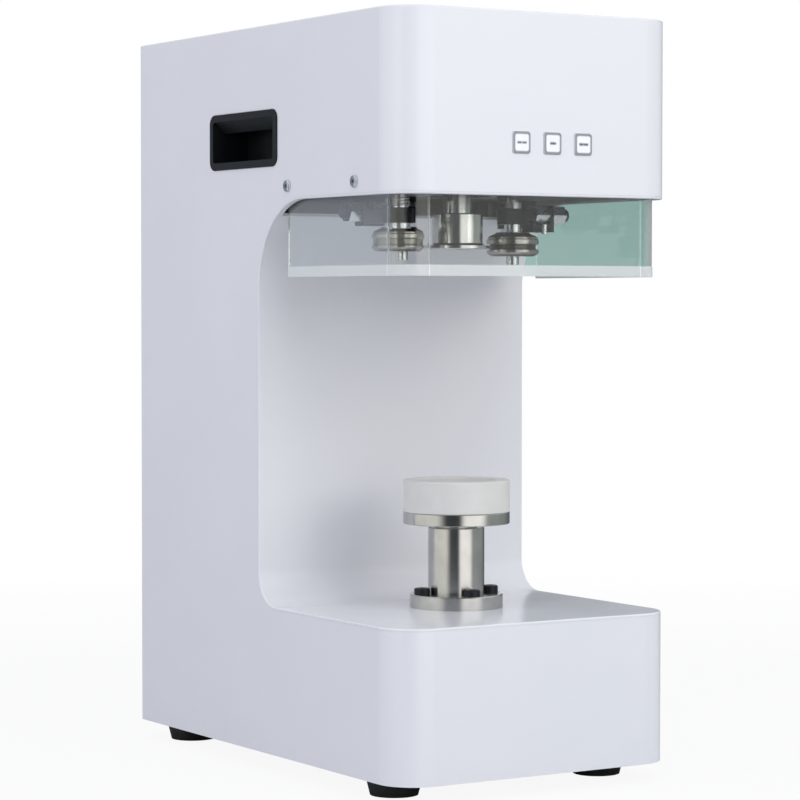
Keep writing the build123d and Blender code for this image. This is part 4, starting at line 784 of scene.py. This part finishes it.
# The three motors stand in black enamel. All of them are closed in by the casing, and
# the enamel is a plain even gloss.
enamel, tree, shader, where = new_material("black_motor_enamel")
fill(
    shader,
    {
        "Base Color": two_tones(tree, where, "#26282B", "#303236", patch_mm=10.0),
        "Roughness": mottle(tree, where, patch_mm=6.0, low=0.35, high=0.5),
    },
)
dress(enamel, "main_motor", "cam_motor", "lift_motor")


# The belt pulleys are turned from aluminium bar and clamped on their shafts. It is paler
# and duller than the steel.
pulley_metal, tree, shader, where = new_material("turned_aluminium")
turn_on_lathe(tree, shader, where, axis, roughness=0.26)
fill(
    shader,
    {"Base Color": two_tones(tree, where, "#D6D7D8", "#C6C8CA", handled_patch, detail=3.0)},
)
dress(pulley_metal, "spindle_pulley", "motor_pulley", "cam_motor_pulley")


# The pivot bushes and the lift nut are bronze, pressed in their seats and oiled, which
# leaves darker patches on the metal.
bronze, tree, shader, where = new_material("oiled_bronze")
fill(
    shader,
    {
        "Base Color": two_tones(tree, where, "#B98D55", "#A27844", patch_mm=3.0),
        "Roughness": mottle(tree, where, patch_mm=3.0, low=0.3, high=0.45),
        "Metallic": 1.0,
    },
)
dress(bronze, "pivot_bushes", "lift_nut")


# The mains inlet is moulded in black PBT and clipped in the rear cover. Three nickel
# blades stand in its socket.
socket_level = 0.059
blade_spots = ((0.070, 0.002), (0.063, -0.002), (0.077, -0.002))
blade_half_width = 1.3
blade_half_height = 2.3
blade_corner = 0.2
blade_soft = 0.05
pbt, tree, shader, where = new_material("black_pbt_with_blades")
parts = add_node(tree, "SeparateXYZ", {"Vector": where})
metal = 0.0
for blade_x, rise in blade_spots:
    across = apart(tree, parts.outputs["X"], blade_x)
    up = apart(tree, parts.outputs["Z"], socket_level + rise)
    blade = stamped(
        tree, across, up, blade_half_width, blade_half_height, blade_corner, blade_soft
    )
    metal = add_node(tree, "Math", {0: metal, 1: blade}, operation="MAXIMUM").outputs[0]
moulded = two_tones(tree, where, "#15161A", "#1F2125", patch_mm=1.0)
bladed = add_node(tree, "Mix", {0: metal, 6: moulded, 7: srgb("#C9C7C0")}, data_type="RGBA")
fill(
    shader,
    {
        "Base Color": bladed.outputs[2],
        "Roughness": mottle(tree, where, patch_mm=6.0, low=0.3, high=0.4),
        "Metallic": metal,
    },
)
dress(pbt, "power_inlet")


# The rocker above the socket is gloss black ABS and tips about its middle. It is printed
# in white with a plain bar for on and a plain ring for off.
rocker_level = 0.0845
rocker_x = 0.070
mark_rise = 3.6
mark_half = 1.5
mark_soft = 0.1
bar_half_width = 0.35
bar_corner = 0.2
ring_half_stroke = 0.3
rocker_gloss, tree, shader, where = new_material("black_gloss_abs_rocker")
parts = add_node(tree, "SeparateXYZ", {"Vector": where})
across = apart(tree, parts.outputs["X"], rocker_x)
above = apart(tree, parts.outputs["Z"], rocker_level + mark_rise * mm)
below = apart(tree, parts.outputs["Z"], rocker_level - mark_rise * mm)
bar = stamped(tree, across, above, bar_half_width, mark_half, bar_corner, mark_soft)
outline, hole = [
    stamped(tree, across, below, size, size, size, mark_soft)
    for size in (mark_half + ring_half_stroke, mark_half - ring_half_stroke)
]
loop = add_node(tree, "Math", {0: outline, 1: hole}, operation="SUBTRACT")
marks = add_node(tree, "Math", {0: bar, 1: loop.outputs[0]}, operation="MAXIMUM").outputs[0]
gloss = two_tones(tree, where, "#15161A", "#1D1F23", patch_mm=5.0)
printed = add_node(tree, "Mix", {0: marks, 6: gloss, 7: srgb("#E8E9EB")}, data_type="RGBA")
fill(
    shader,
    {
        "Base Color": printed.outputs[2],
        "Roughness": mottle(tree, where, patch_mm=4.0, low=0.16, high=0.24),
    },
)
dress(rocker_gloss, "power_rocker")
